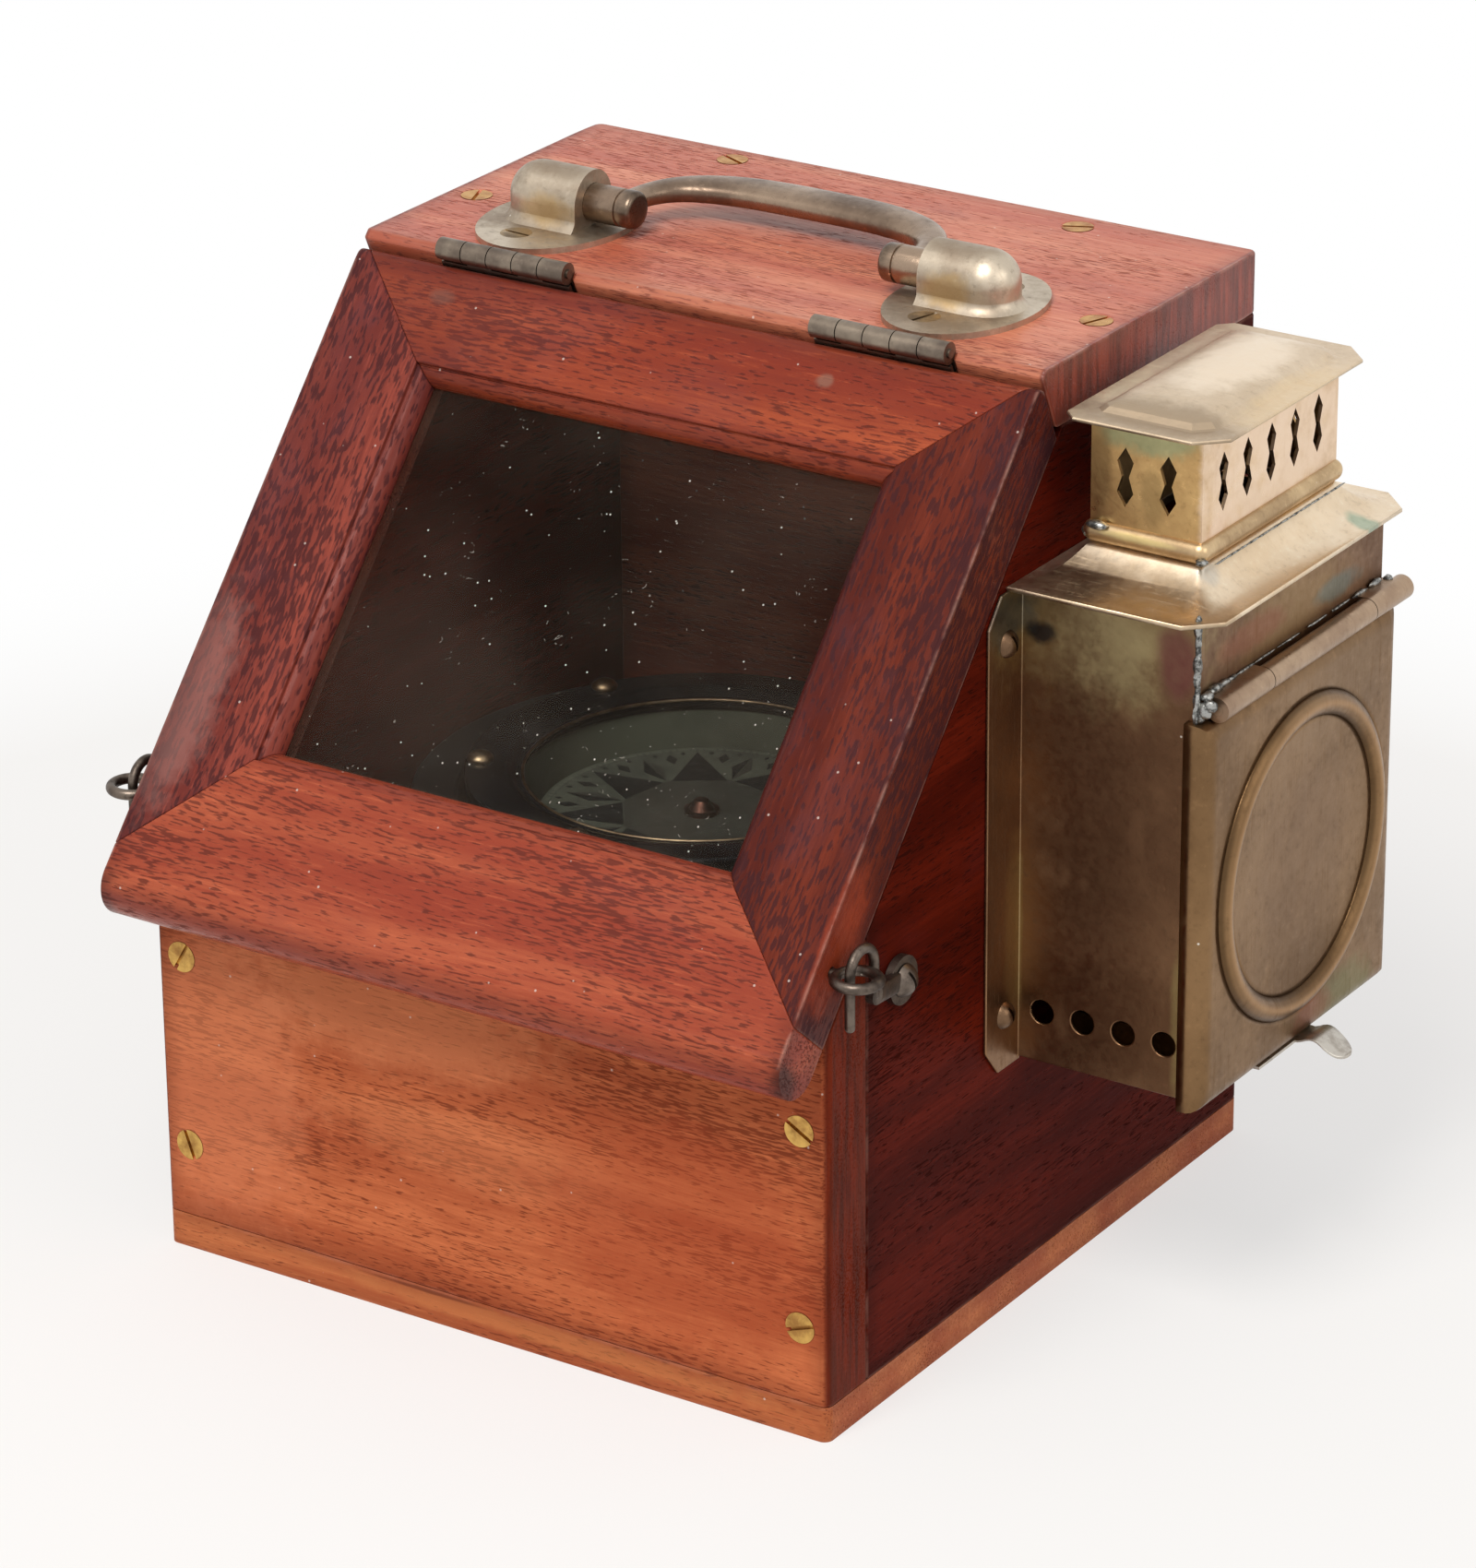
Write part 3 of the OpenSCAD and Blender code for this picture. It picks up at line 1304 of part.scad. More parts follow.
module compass_bezel() {
    lip = 1.6;
    shoulder = bezel_w / 2;
    skirt_down = 6;
    color(black_paint) translate([0, compass_y, 0]) difference() {
        rotate_extrude() difference() {
            union() {
                translate([skirt_in, gimbal_z - skirt_down])
                    square([bezel_r - skirt_in, bezel_top - gimbal_z + skirt_down - 1]);
                translate([sight_r + shoulder, glass_top])
                    square([bezel_r - sight_r - shoulder - 1, bezel_top - glass_top]);
                translate([bezel_r - 1, bezel_top - 1]) circle(1);
                translate([sight_r, glass_top]) square([shoulder + 1, lip]);
                intersection() {
                    translate([sight_r + shoulder, bezel_top - 10]) circle(10);
                    translate([sight_r, glass_top]) square([shoulder, 10]);
                }
            }
            translate([0, bowl_rim - far]) square([skirt_in, far + compass_glass_t]);
        }
        rod_x(-bezel_r - 1, bezel_r + 1, 0, gimbal_z, gimbal_pin_r + seat_gap);
        at_bezel_screws() translate([0, 0, -bezel_screw_l]) cylinder(r = 1.3 + seat_gap, h = 20);
    }
}
bezel_screw_l = 7;
module at_bezel_screws() {
    for (i = [0:bezel_screws_n - 1]) rotate([0, 0, 30 + 360 * i / bezel_screws_n])
        translate([bezel_screw_r, 0, bezel_top]) children();
}
module bezel_screws() {
    color(bright_brass) translate([0, compass_y, 0])
        at_bezel_screws() round_screw(2.9, 2.3, 1.3, bezel_screw_l, 50);
}
module compass_glass() {
    color(glass_colour) translate([0, compass_y, glass_low]) cylinder(r = bowl_r - 0.6, h = compass_glass_t);
}
module bowl_pins() {
    color(bright_brass) for (s = [-1, 1]) mirror([s < 0 ? 1 : 0, 0, 0])
        rod_x(skirt_in + 0.3, gimbal_r - 4, compass_y, gimbal_z, gimbal_pin_r);
}
weight_h = 8;
module bowl_weight() {
    color(lead) translate([0, compass_y, bowl_low - weight_h]) cylinder(r = flat_r - 2, h = weight_h);
}

card_z = glass_top - card_drop;
card_t = 0.8;
pivot_tip = card_z + 1.2;
module card_pivot() {
    color(bright_brass) translate([0, compass_y, bowl_low]) {
        cylinder(r = 2.5, h = bowl_t + 4);
        translate([0, 0, bowl_t + 3.9])
            cylinder(r1 = 2.5, r2 = 1.2, h = card_z - 6 - bowl_low - bowl_t - 3.9);
        translate([0, 0, card_z - 6.1 - bowl_low]) cylinder(r1 = 1.2, r2 = 0.3, h = pivot_tip - card_z + 6.1);
    }
}
lubber_h = card_drop + 2;
module lubber_line() {
    color(black_paint)
        translate([-0.5, compass_y + bowl_r - bowl_t - 1.65, card_z - 6]) cube([1, 1.6, lubber_h]);
}
module compass_card() {
    color(card_colour) translate([0, compass_y, card_z]) difference() {
        cylinder(r = card_r, h = card_t);
        translate([0, 0, -1]) cylinder(r = 3.2 + seat_gap, h = 3);
    }
}
module card_cap() {
    color(bright_brass) translate([0, compass_y, 0]) difference() {
        union() {
            translate([0, 0, card_z - 2]) cylinder(r = 3.2, h = 2 + card_t + 0.01);
            translate([0, 0, card_z + card_t]) cylinder(r = 4.6, h = 1.2);
            translate([0, 0, card_z + card_t + 1.2]) cylinder(r1 = 3.4, r2 = 1.8, h = 2.4);
        }
        translate([0, 0, card_z - 2.1]) cylinder(r1 = 2.4, r2 = 0.35, h = pivot_tip - card_z + 2.4);
    }
}
magnet_l = card_r * 1.365;
magnet_x = 7;
magnet_w = 2.4;
module card_magnets() {
    color(steel) for (s = [-1, 1])
        translate([s * magnet_x - magnet_w / 2, compass_y - magnet_l / 2, card_z - 3])
            cube([magnet_w, magnet_l, 3]);
}

// --- what is drawn ---

base_board();
front_board();
left_side_board();
right_side_board();
back_board();
top_board();
front_screws();
top_screws();
base_screws();
door_top_rail();
door_bottom_rail();
door_left_stile();
door_right_stile();
door_glass();
glazing_beads();
door_hinge_leaves();
case_hinge_leaves();
door_hinge_pins();
door_eyes();
left_hook();
right_hook();
hook_screws();
left_handle_plate();
right_handle_plate();
handle_screws();
handle_bail();
lamp_body();
lamp_flange_screws();
lamp_roof();
chimney();
chimney_foot_bead();
chimney_cap();
window_glass();
window_ring();
lamp_door();
lamp_door_knuckle();
thumb_tab();
lamp_hinge_ends();
lamp_hinge_pin();
oil_font();
font_guides();
burner();
wick_tube();
wick();
wick_winder();
pivot_brackets();
bracket_screws();
gimbal_ring();
gimbal_pins();
compass_bowl();
compass_bezel();
compass_glass();
bezel_screws();
bowl_pins();
bowl_weight();
card_pivot();
lubber_line();
compass_card();
card_magnets();
card_cap();
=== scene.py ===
import bmesh
import bpy
import math
from mathutils import Euler, Matrix, Vector


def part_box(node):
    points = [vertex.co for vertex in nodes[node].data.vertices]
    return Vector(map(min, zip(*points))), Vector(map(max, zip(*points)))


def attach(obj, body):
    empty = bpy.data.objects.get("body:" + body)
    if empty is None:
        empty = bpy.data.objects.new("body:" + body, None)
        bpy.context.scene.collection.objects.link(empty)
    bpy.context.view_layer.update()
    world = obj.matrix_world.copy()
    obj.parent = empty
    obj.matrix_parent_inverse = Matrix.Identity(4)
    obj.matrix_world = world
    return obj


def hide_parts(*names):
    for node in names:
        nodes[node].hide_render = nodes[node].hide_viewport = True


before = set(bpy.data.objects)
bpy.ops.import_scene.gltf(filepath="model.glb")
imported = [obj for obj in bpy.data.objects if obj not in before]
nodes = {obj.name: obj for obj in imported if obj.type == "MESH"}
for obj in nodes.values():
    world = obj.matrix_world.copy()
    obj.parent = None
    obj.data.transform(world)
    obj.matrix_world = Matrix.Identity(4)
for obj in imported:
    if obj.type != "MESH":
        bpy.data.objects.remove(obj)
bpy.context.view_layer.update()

# --- The place where the case stands -----------------------------------------------------------
# A sheet of white paper on a table, one big soft lamp high in front, a weak one on the right and
# white walls. The camera stands at the front right corner and looks down on the case.

camera = bpy.data.objects.new("camera", bpy.data.cameras.new("camera"))
bpy.context.scene.collection.objects.link(camera)
heading, tilt, roll = (math.radians(turn) for turn in (33.291, 66.541, -0.4951))
camera.matrix_world = (Matrix.Translation((0.8524, -1.2839, 0.7840)) @ Matrix.Rotation(heading, 4, "Z")
                       @ Matrix.Rotation(tilt, 4, "X") @ Matrix.Rotation(roll, 4, "Z"))
camera.data.sensor_fit = "HORIZONTAL"
camera.data.sensor_width = 36
camera.data.lens = 158.8
bpy.context.scene.camera = camera
bpy.context.scene.view_settings.view_transform = "Standard"


class Finish:
    """A material, or the room's light, whose nodes are wired up as they are made."""

    def __init__(self, name, shelf=bpy.data.materials):
        self.owner = shelf.new(name)
        self.owner.use_nodes = True
        self.tree = self.owner.node_tree
        self.tree.nodes.clear()

    def node(self, kind, wires=None, out=0, **settings):
        node = self.tree.nodes.new("ShaderNode" + kind)
        for key, value in settings.items():
            setattr(node, key, value)
        for key, value in (wires or {}).items():
            if isinstance(value, bpy.types.NodeSocket):
                self.tree.links.new(value, node.inputs[key])
            else:
                node.inputs[key].default_value = value
        return node.outputs[out] if len(node.outputs) else node

    def math(self, how, a, b=0.0):
        return self.node("Math", {0: a, 1: b}, operation=how)

    def plus(self, a, b):
        return self.math("ADD", a, b)

    def minus(self, a, b):
        return self.math("SUBTRACT", a, b)

    def times(self, a, b):
        return self.math("MULTIPLY", a, b)

    def larger(self, a, b):
        return self.math("MAXIMUM", a, b)

    def smaller(self, a, b):
        return self.math("MINIMUM", a, b)

    def apart(self, a, b):
        """How far two values are from each other."""
        return self.math("ABSOLUTE", self.minus(a, b))

    def radius(self, a, b):
        """The distance from an axis, from the two places across it."""
        return self.math("SQRT", self.plus(self.times(a, a), self.times(b, b)))

    def vector(self, how, *values, out=0):
        return self.node("VectorMath", dict(enumerate(values)), out, operation=how)

    def mix(self, share, a, b):
        return self.node("Mix", {0: share, 6: a, 7: b}, 2, data_type="RGBA")

    def step(self, value, low, high, to_low=0.0, to_high=1.0):
        """A soft step from to_low, where the value is low, to to_high, where it is high."""
        return self.node("MapRange", {0: value, 1: low, 2: high, 3: to_low, 4: to_high},
                         interpolation_type="SMOOTHSTEP")

    def here(self):
        """The place on the piece, in metres."""
        return self.node("TexCoord", out=3)

    def split(self, place):
        """The three numbers of a place."""
        parts = self.node("SeparateXYZ", {0: place}).node
        return parts.outputs[0], parts.outputs[1], parts.outputs[2]

    def seen(self):
        """1 for what the camera sees, straight or in metal or glass, and 0 for light on its way to the object."""
        path = self.tree.nodes.new("ShaderNodeLightPath").outputs
        return self.larger(path["Is Camera Ray"], self.larger(path["Is Glossy Ray"], path["Is Transmission Ray"]))

    def noise(self, place, waves, detail=3.0, rough=0.5, twist=0.0, out=0):
        """A cloudy pattern; waves counts its waves to the metre, one number or one for each axis."""
        if isinstance(waves, tuple):
            place = self.vector("MULTIPLY", place, waves)
            waves = 1.0
        return self.node("TexNoise", {"Vector": place, "Scale": waves, "Detail": detail, "Roughness": rough,
                                      "Distortion": twist}, out)

    def specks(self, place, waves, size, share):
        """Scattered round specks; size is a part of their spacing, share the part of them that shows."""
        near = self.node("TexVoronoi", {"Vector": place, "Scale": waves})
        pick = self.node("SeparateColor", {0: near.node.outputs["Color"]})
        return self.times(self.step(near, size, size * 0.5), self.math("LESS_THAN", pick, share))

    def patch(self, place, centre, size):
        """A stain with a ragged edge: 1 in the middle, 0 outside its size along each axis."""
        off = self.vector("DIVIDE", self.vector("SUBTRACT", place, centre), size)
        ragged = self.times(self.minus(self.noise(place, 170.0, 4.0, 0.6), 0.5), 0.9)
        return self.step(self.plus(self.vector("LENGTH", off, out=1), ragged), 1.1, 0.45)

    def stained(self, tint, place, stains):
        """Lays stains over a tint; each has its centre, its size, its colour and how much it covers."""
        for centre, size, colour, share in stains:
            tint = self.mix(self.times(self.patch(place, centre, size), share), tint, colour)
        return tint

    def arris(self, place, low, high, width):
        """1 along the edges of the box from low to high, 0 at a width away from them."""
        inward = self.vector("MINIMUM", self.vector("SUBTRACT", place, low), self.vector("SUBTRACT", high, place))
        x, y, z = self.split(inward)
        second = self.larger(self.smaller(x, y), self.smaller(self.larger(x, y), z))
        return self.step(second, width, 0.0)

    def done(self, surface):
        self.node("OutputMaterial", {"Surface": surface})
        return self.owner

    def finished(self, tint, rough, bumps=None, metal=0.0, shine=0.5, cover=1.0):
        """Closes a finish with one shader; bumps are their height, their strength and their depth in metres."""
        wires = {"Base Color": tint, "Roughness": rough, "Metallic": metal, "Specular IOR Level": shine,
                 "Alpha": cover}
        if bumps:
            wires["Normal"] = self.node("Bump", dict(zip(("Height", "Strength", "Distance"), bumps)))
        return self.done(self.node("BsdfPrincipled", wires))


def tone(red, green, blue):
    """A colour as a painter's chart gives it, 0 to 255, for a shader's socket."""
    return tuple(((c / 255 + 0.055) / 1.055) ** 2.4 if c > 10 else c / 3294.6
                 for c in (red, green, blue)) + (1.0,)


def shade(colour, level):
    """A darker or a paler version of a shader's colour."""
    return tuple(min(1.0, c * level) for c in colour[:3]) + (1.0,)


def paper():
    """White paper near the case, where its shadow lies, that turns to plain white further off."""
    f = Finish("white_paper")
    far = f.step(f.vector("LENGTH", f.here(), out=1), 0.17, 0.50)
    sheet = f.node("BsdfDiffuse", {"Color": tone(240, 236, 231)})
    white = f.node("Emission", {"Color": (1, 1, 1, 1), "Strength": 1.0})
    return f.done(f.node("MixShader", {0: f.times(f.larger(far, 0.6), f.seen()), 1: sheet, 2: white}))


floor_mesh = bpy.data.meshes.new("floor")
floor_mesh.from_pydata([(-9, -9, 0), (9, -9, 0), (9, 9, 0), (-9, 9, 0)], [], [(0, 1, 2, 3)])
floor = bpy.data.objects.new("floor", floor_mesh)
bpy.context.scene.collection.objects.link(floor)
floor_mesh.materials.append(paper())

room = Finish("room", bpy.data.worlds)
bpy.context.scene.world = room.owner
walls_as_light, walls_as_seen = 0.50, 1.0
room_level = room.node("MapRange", {0: room.seen(), 3: walls_as_light, 4: walls_as_seen})
room_light = room.node("Background", {"Color": (1, 1, 1, 1), "Strength": room_level})
room.node("OutputWorld", {"Surface": room_light})


def soft_lamp(name, place, towards, width, watts, colour):
    lamp = bpy.data.objects.new(name, bpy.data.lights.new(name, "AREA"))
    lamp.data.shape = "DISK"
    lamp.data.size = width
    lamp.data.energy = watts
    lamp.data.color = colour
    lamp.location = place
    lamp.rotation_euler = (Vector(towards) - Vector(place)).to_track_quat("-Z", "Y").to_euler()
    bpy.context.scene.collection.objects.link(lamp)


case_middle = (0, 0, 0.1)
soft_lamp("key_lamp", (0.15, -1.25, 2.0), case_middle, 1.1, 33, (1.0, 0.985, 0.965))
soft_lamp("fill_lamp", (2.0, -0.2, 1.3), case_middle, 1.3, 7, (1.0, 0.98, 0.95))

# --- Base board and front board ----------------------------------------------------------------
# Two boards of the paler, orange-brown mahogany, oiled and rubbed for a century. The base board is
# screwed on from below; the front board closes the ends of the side boards. Both have short dark
# pores that run with the grain from left to right.

def run_of(along, slow, fast):
    """Waves to the metre for a pattern that is drawn out along one of the three axes."""
    return tuple(slow if axis == along else fast for axis in range(3))


def soften(width, *names, clamp=False):
    """Breaks the sharp arrises of solids by a width in metres."""
    for name in names:
        part = nodes[name]
        part.modifiers.new("join_corners", "WELD").merge_threshold = 0.000002
        flats = part.modifiers.new("join_flats", "DECIMATE")
        flats.decimate_type = "DISSOLVE"
        flats.angle_limit = math.radians(0.6)
        arris = part.modifiers.new("soft_arris", "BEVEL")
        arris.width = width
        arris.segments = 3
        arris.limit_method = "ANGLE"
        arris.angle_limit = math.radians(35)
        arris.use_clamp_overlap = clamp
        arris.harden_normals = True


def dress(finish, *names):
    """Gives solids of the part their finish."""
    for name in names:
        nodes[name].data.materials.clear()
        nodes[name].data.materials.append(finish)


def lie_of(f, part, lean):
    """The places on a part turned back from its slope, that turn, and the box that the part fills in them."""
    turn = (math.radians(-lean), 0, 0)
    straight = Euler(turn).to_matrix()
    corners = [straight @ v.co for v in nodes[part].data.vertices]
    low, high = (tuple(end(c[axis] for c in corners) for axis in range(3)) for end in (min, max))
    return f.node("Mapping", {"Vector": f.here(), "Rotation": turn}), straight, low, high


def mahogany(part, pale, dark, pore, along=0, lean=0.0, cloudy=0.0, worn=0.4, crowded=0.5, gloss=0.42,
             shine=0.2, ends=None, stains=(), fine=2000):
    """Dresses a board in oiled mahogany: bands, fibres, pores and dust, its arrises dark, and pale from rubbing
    and a painted highlight.

    The grain runs along one axis and leans with its board; fine is how thin the pores are, and crowded
    how many. The ends have a colour only where they show, and worn is how pale the arrises are, from
    rubbing and from a painted highlight.
    """
    f = Finish(part)
    place, straight, low, high = lie_of(f, part, lean)
    wander = f.noise(place, run_of(along, 5, 18), 2.0, out=1)
    lay = f.vector("MULTIPLY_ADD", wander, (0.009,) * 3, place)
    lay = f.vector("ADD", lay, (sum(map(ord, part)) * 0.37,) * 3)
    bands = f.noise(lay, run_of(along, 5, 62), 4.0)
    fibres = f.noise(lay, run_of(along, 52, 1000), 5.0, 0.74)
    crowd = f.noise(lay, run_of(along, 12, 42), 3.0)
    pores = f.noise(lay, run_of(along, 230, fine), 1.5, 0.5)
    cut = f.step(f.plus(pores, f.times(f.minus(crowd, 1 - crowded), 0.5)), 0.57, 0.68)
    tint = f.mix(f.step(bands, 0.32, 0.68), dark, pale)
    tint = f.mix(f.step(fibres, 0.44, 0.70, 0, 0.75), tint, dark)
    tint = f.mix(f.step(fibres, 0.47, 0.27, 0, 0.65), tint, shade(pale, 1.22))
    tint = f.mix(f.times(cut, 0.7), tint, pore)
    if cloudy:
        bloom = f.noise(place, run_of(along, 26, 44), 4.0, 0.62)
        tint = f.mix(f.step(bloom, 0.5, 0.72, 0, cloudy), tint, tone(92, 62, 72))
        streaks = f.noise(lay, run_of(along, 70, 190), 3.0)
        tint = f.mix(f.step(streaks, 0.55, 0.75, 0, cloudy * 0.8), tint, tone(70, 30, 32))
    tint = f.stained(tint, place, [(tuple(straight @ Vector(centre)), *look) for centre, *look in stains])
    if ends:
        across = f.math("ABSOLUTE", f.split(place)[0])
        cross = f.step(f.noise(place, (40, 420, 34), 4.0, 0.62), 0.38, 0.64)
        tint = f.mix(f.step(across, high[0] - 0.0016, high[0] - 0.0005, 0, 0.95), tint,
                     f.mix(cross, ends, shade(ends, 0.4)))
    tint = f.mix(f.times(f.arris(place, low, high, 0.008), 0.4), tint, pore)
    # Pale arrises: partly wear, partly a painted highlight along the edges.
    rub_and_glint = f.step(f.noise(place, 60.0, 4.0, 0.7), 0.38, 0.62, 0, worn)
    tint = f.mix(f.times(f.arris(place, low, high, 0.0011), rub_and_glint), tint, tone(200, 150, 134))
    dust = f.specks(place, 230.0, 0.10, 0.16)
    tint = f.mix(f.times(dust, 0.6), tint, tone(222, 206, 196))
    rough = f.plus(f.step(fibres, 0.3, 0.7, gloss - 0.05, gloss + 0.09), f.times(f.plus(cut, dust), 0.3))
    height = f.minus(f.times(f.noise(place, 70.0, 3.0), 0.5), f.plus(f.times(cut, 0.55), f.times(fibres, 0.12)))
    dress(f.finished(tint, rough, (height, 0.5, 0.0004), shine=shine), part)


# The first stain is painted light: a paler patch at the top middle of the board, under the door's lip, where
# shade falls.
mahogany("front_board", tone(202, 114, 72), tone(164, 80, 48), tone(104, 42, 26), worn=0.15,
         crowded=0.56, gloss=0.40, shine=0.05, ends=tone(108, 30, 6),
         stains=[((-0.03, -0.103, 0.085), (0.06, 0.01, 0.02), tone(222, 140, 96), 0.45),
                 ((0.0, -0.103, 0.052), (0.06, 0.01, 0.012), tone(214, 132, 88), 0.35),
                 ((-0.085, -0.103, 0.055), (0.036, 0.01, 0.06), tone(224, 138, 98), 0.4),
                 ((0.06, -0.103, 0.045), (0.05, 0.01, 0.04), tone(164, 72, 44), 0.5)])
mahogany("base_board", tone(212, 128, 78), tone(180, 92, 54), tone(110, 50, 30), worn=0.15,
         crowded=0.45, shine=0.12,
         stains=[((0.02, -0.105, 0.006), (0.09, 0.02, 0.0035), tone(216, 140, 84), 0.5),
                 ((-0.055, -0.105, 0.0122), (0.032, 0.01, 0.0008), tone(74, 32, 20), 0.85),
                 ((-0.020, -0.105, 0.0085), (0.022, 0.01, 0.0007), tone(86, 38, 24), 0.7)])
soften(0.0006, "front_board")
soften(0.0005, "base_board", clamp=True)

# --- Sides, back and top of the box --------------------------------------------------------------
# Boards of darker red mahogany, butted and screwed. Their grain runs from front to back on the sides
# and from left to right on the back and the top; the top has caught the most hands and dust. The top is
# painted paler, partly as painted light and sheen, and the sides darker, partly as painted shade.

# The sides' near-black tones are partly painted shade.
for board in ("left_side_board", "right_side_board"):
    mahogany(board, tone(98, 26, 12), tone(68, 15, 7), tone(40, 11, 7), along=1, cloudy=0.04,
             worn=0.25, gloss=0.34, shine=0.015)
mahogany("back_board", tone(164, 84, 60), tone(126, 56, 42), tone(66, 28, 22), cloudy=0.15,
         worn=0.0, gloss=0.38, shine=0.08)
# The top's pale tones are partly painted light and sheen.
mahogany("top_board", tone(216, 134, 100), tone(182, 88, 62), tone(112, 48, 36), cloudy=0.12,
         worn=0.5, gloss=0.34, shine=0.4, ends=tone(160, 72, 54))
soften(0.0007, "left_side_board", "right_side_board", "back_board", "top_board")

# --- Wood screws ---------------------------------------------------------------------------------
# Countersunk slotted brass screws, flush with the boards. The heads are yellow in the middle, brown
# where polish has gathered in the slot and round the rim.

def brass(name, clean, tarnish, rough=0.42, cloud=24.0, grime=0.35, stains=(), bead=None):
    """Brass without lacquer: a cloudy brown tarnish over a clean tone, with specks, scratches and stains.

    A bead is a round rib, given by its middle along Y and Z, its radius and half its width; its feet are darkened
    by tarnish and its crest is painted pale, a painted highlight.
    """
    f = Finish(name)
    place = f.here()
    haze = f.noise(place, cloud, 5.0, 0.62)
    fine = f.noise(place, 420.0, 5.0, 0.68)
    tint = f.mix(f.step(haze, 0.36, 0.66), clean, tarnish)
    tint = f.mix(f.step(fine, 0.52, 0.74, 0, grime), tint, shade(tarnish, 0.42))
    tint = f.mix(f.step(fine, 0.44, 0.28, 0, 0.22), tint, shade(clean, 1.5))
    tint = f.stained(tint, place, stains)
    if bead:
        middle_y, middle_z, radius, half = bead
        _, y, z = f.split(f.vector("SUBTRACT", place, (0, middle_y, middle_z)))
        off = f.apart(f.radius(y, z), radius)
        foot = f.times(f.step(off, half * 0.6, half), f.step(off, half * 1.5, half * 1.05, 0, 0.65))
        tint = f.mix(foot, tint, shade(tarnish, 0.35))
        # Painted highlight: the bead's crest is painted paler than the brass round it.
        tint = f.mix(f.step(off, half * 0.6, 0, 0, 0.7), tint, shade(clean, 1.6))
    tint = f.mix(f.times(f.specks(place, 150.0, 0.06, 0.25), 0.8), tint, tone(236, 230, 216))
    scratches = f.step(f.noise(place, (90, 1500, 60), 2.0), 0.58, 0.70, 0, 0.125)
    level = f.plus(f.times(haze, 0.5), f.times(fine, 0.5))
    gloss = f.plus(f.step(level, 0.3, 0.7, rough - 0.09, rough + 0.13), scratches)
    height = f.plus(level, f.times(f.noise(place, 55.0, 2.0), 3.0))
    return f.finished(tint, gloss, (height, 0.35, 0.00025), metal=1.0)


dress(brass("screw_brass", tone(214, 172, 96), tone(164, 120, 66), rough=0.36, cloud=160.0),
      "front_screws", "base_screws")
dress(brass("top_screw_brass", tone(206, 158, 88), tone(168, 112, 60), rough=0.34, cloud=160.0), "top_screws")

# --- The sloping door ------------------------------------------------------------------------------
# A mitred mahogany frame with an ovolo moulding round the sight opening and a bullnosed lower edge.
# The rails' grain runs across and the stiles' runs down the slope, so they meet dark against light.

slope = 48.6
# Both lower corners of the door are painted near black.
dark_door_corners = [((0.106, -0.122, 0.107), (0.009, 0.007, 0.009), tone(34, 16, 14), 0.8),
                ((-0.106, -0.121, 0.108), (0.009, 0.010, 0.010), tone(52, 24, 20), 0.7)]
mahogany("door_top_rail", tone(172, 82, 50), tone(128, 48, 32), tone(70, 24, 20), lean=slope,
         cloudy=0.15, worn=0.5, crowded=0.58, gloss=0.26, shine=0.14, fine=1500,
         stains=[((-0.0715, -0.0121, 0.2384), (0.0045, 0.0026, 0.003), tone(132, 96, 82), 0.6),
                 ((0.0441, -0.0124, 0.2381), (0.0028, 0.0020, 0.003), tone(140, 104, 88), 0.6),
                 ((-0.085, -0.02, 0.235), (0.05, 0.03, 0.03), tone(98, 38, 32), 0.45)])
mahogany("door_bottom_rail", tone(180, 92, 62), tone(146, 60, 42), tone(78, 30, 24), lean=slope,
         cloudy=0.1, worn=0.5, crowded=0.57, gloss=0.26, shine=0.14, fine=1600, stains=dark_door_corners)
# The first mark is painted sheen, a whitish veil low on the left stile; the second is an orange mark on the right
# stile's edge.
sheen_and_edge_marks = [((-0.098, -0.090, 0.150), (0.012, 0.035, 0.035), tone(176, 130, 122), 0.35),
              ((0.1015, -0.104, 0.139), (0.002, 0.024, 0.022), tone(196, 80, 44), 0.5)]
for stile, pale, dark in (("door_left_stile", tone(152, 72, 58), tone(108, 46, 40)),
                          ("door_right_stile", tone(116, 48, 32), tone(80, 29, 22))):
    mahogany(stile, pale, dark, tone(54, 27, 31), along=1, lean=slope, cloudy=0.2, worn=0.35,
             crowded=0.7, gloss=0.26, shine=0.08, fine=1050, stains=dark_door_corners + sheen_and_edge_marks)
soften(0.0004, "door_top_rail", "door_bottom_rail", "door_left_stile", "door_right_stile")

# --- Glass of the door -----------------------------------------------------------------------------
# Old window glass in a rebate, held by mahogany beads from inside. Dust lies along its edges and
# specks and lint are scattered over it.

def pane(part, tint, edge, clear=0.04, lean=0.0, lint=0.5):
    """Dresses thin clear glass: a faint veil, thicker with dust by its edges, with specks and lint on it."""
    f = Finish(part)
    place, _, low, high = lie_of(f, part, lean)
    dusty = f.step(f.noise(place, 85.0, 5.0, 0.72), 0.3, 0.6)
    dusty = f.times(f.times(f.arris(place, low, high, edge), dusty), 0.5)
    veil = f.step(f.noise(place, 14.0, 3.0), 0.35, 0.7, clear * 0.4, clear * 1.6)
    wiped = f.step(f.noise(place, (500, 45, 45), 4.0, 0.7), 0.72, 0.8, 0, 0.05)
    hairs = f.step(f.noise(place, 330.0, 1.0, 0.4, 2.5), 0.775, 0.80)
    spots = f.larger(f.specks(place, 240.0, 0.085, 0.4), f.times(hairs, lint))
    cover = f.smaller(f.plus(f.plus(f.plus(veil, dusty), wiped), f.times(spots, 0.7)), 0.95)
    uneven = f.times(f.noise(place, 90.0, 5.0, 0.7), 0.012)
    dress(f.finished(f.mix(spots, tint, tone(222, 216, 204)), f.step(f.plus(spots, uneven), 0.0, 1.0, 0.06, 0.6),
                     cover=cover), part)


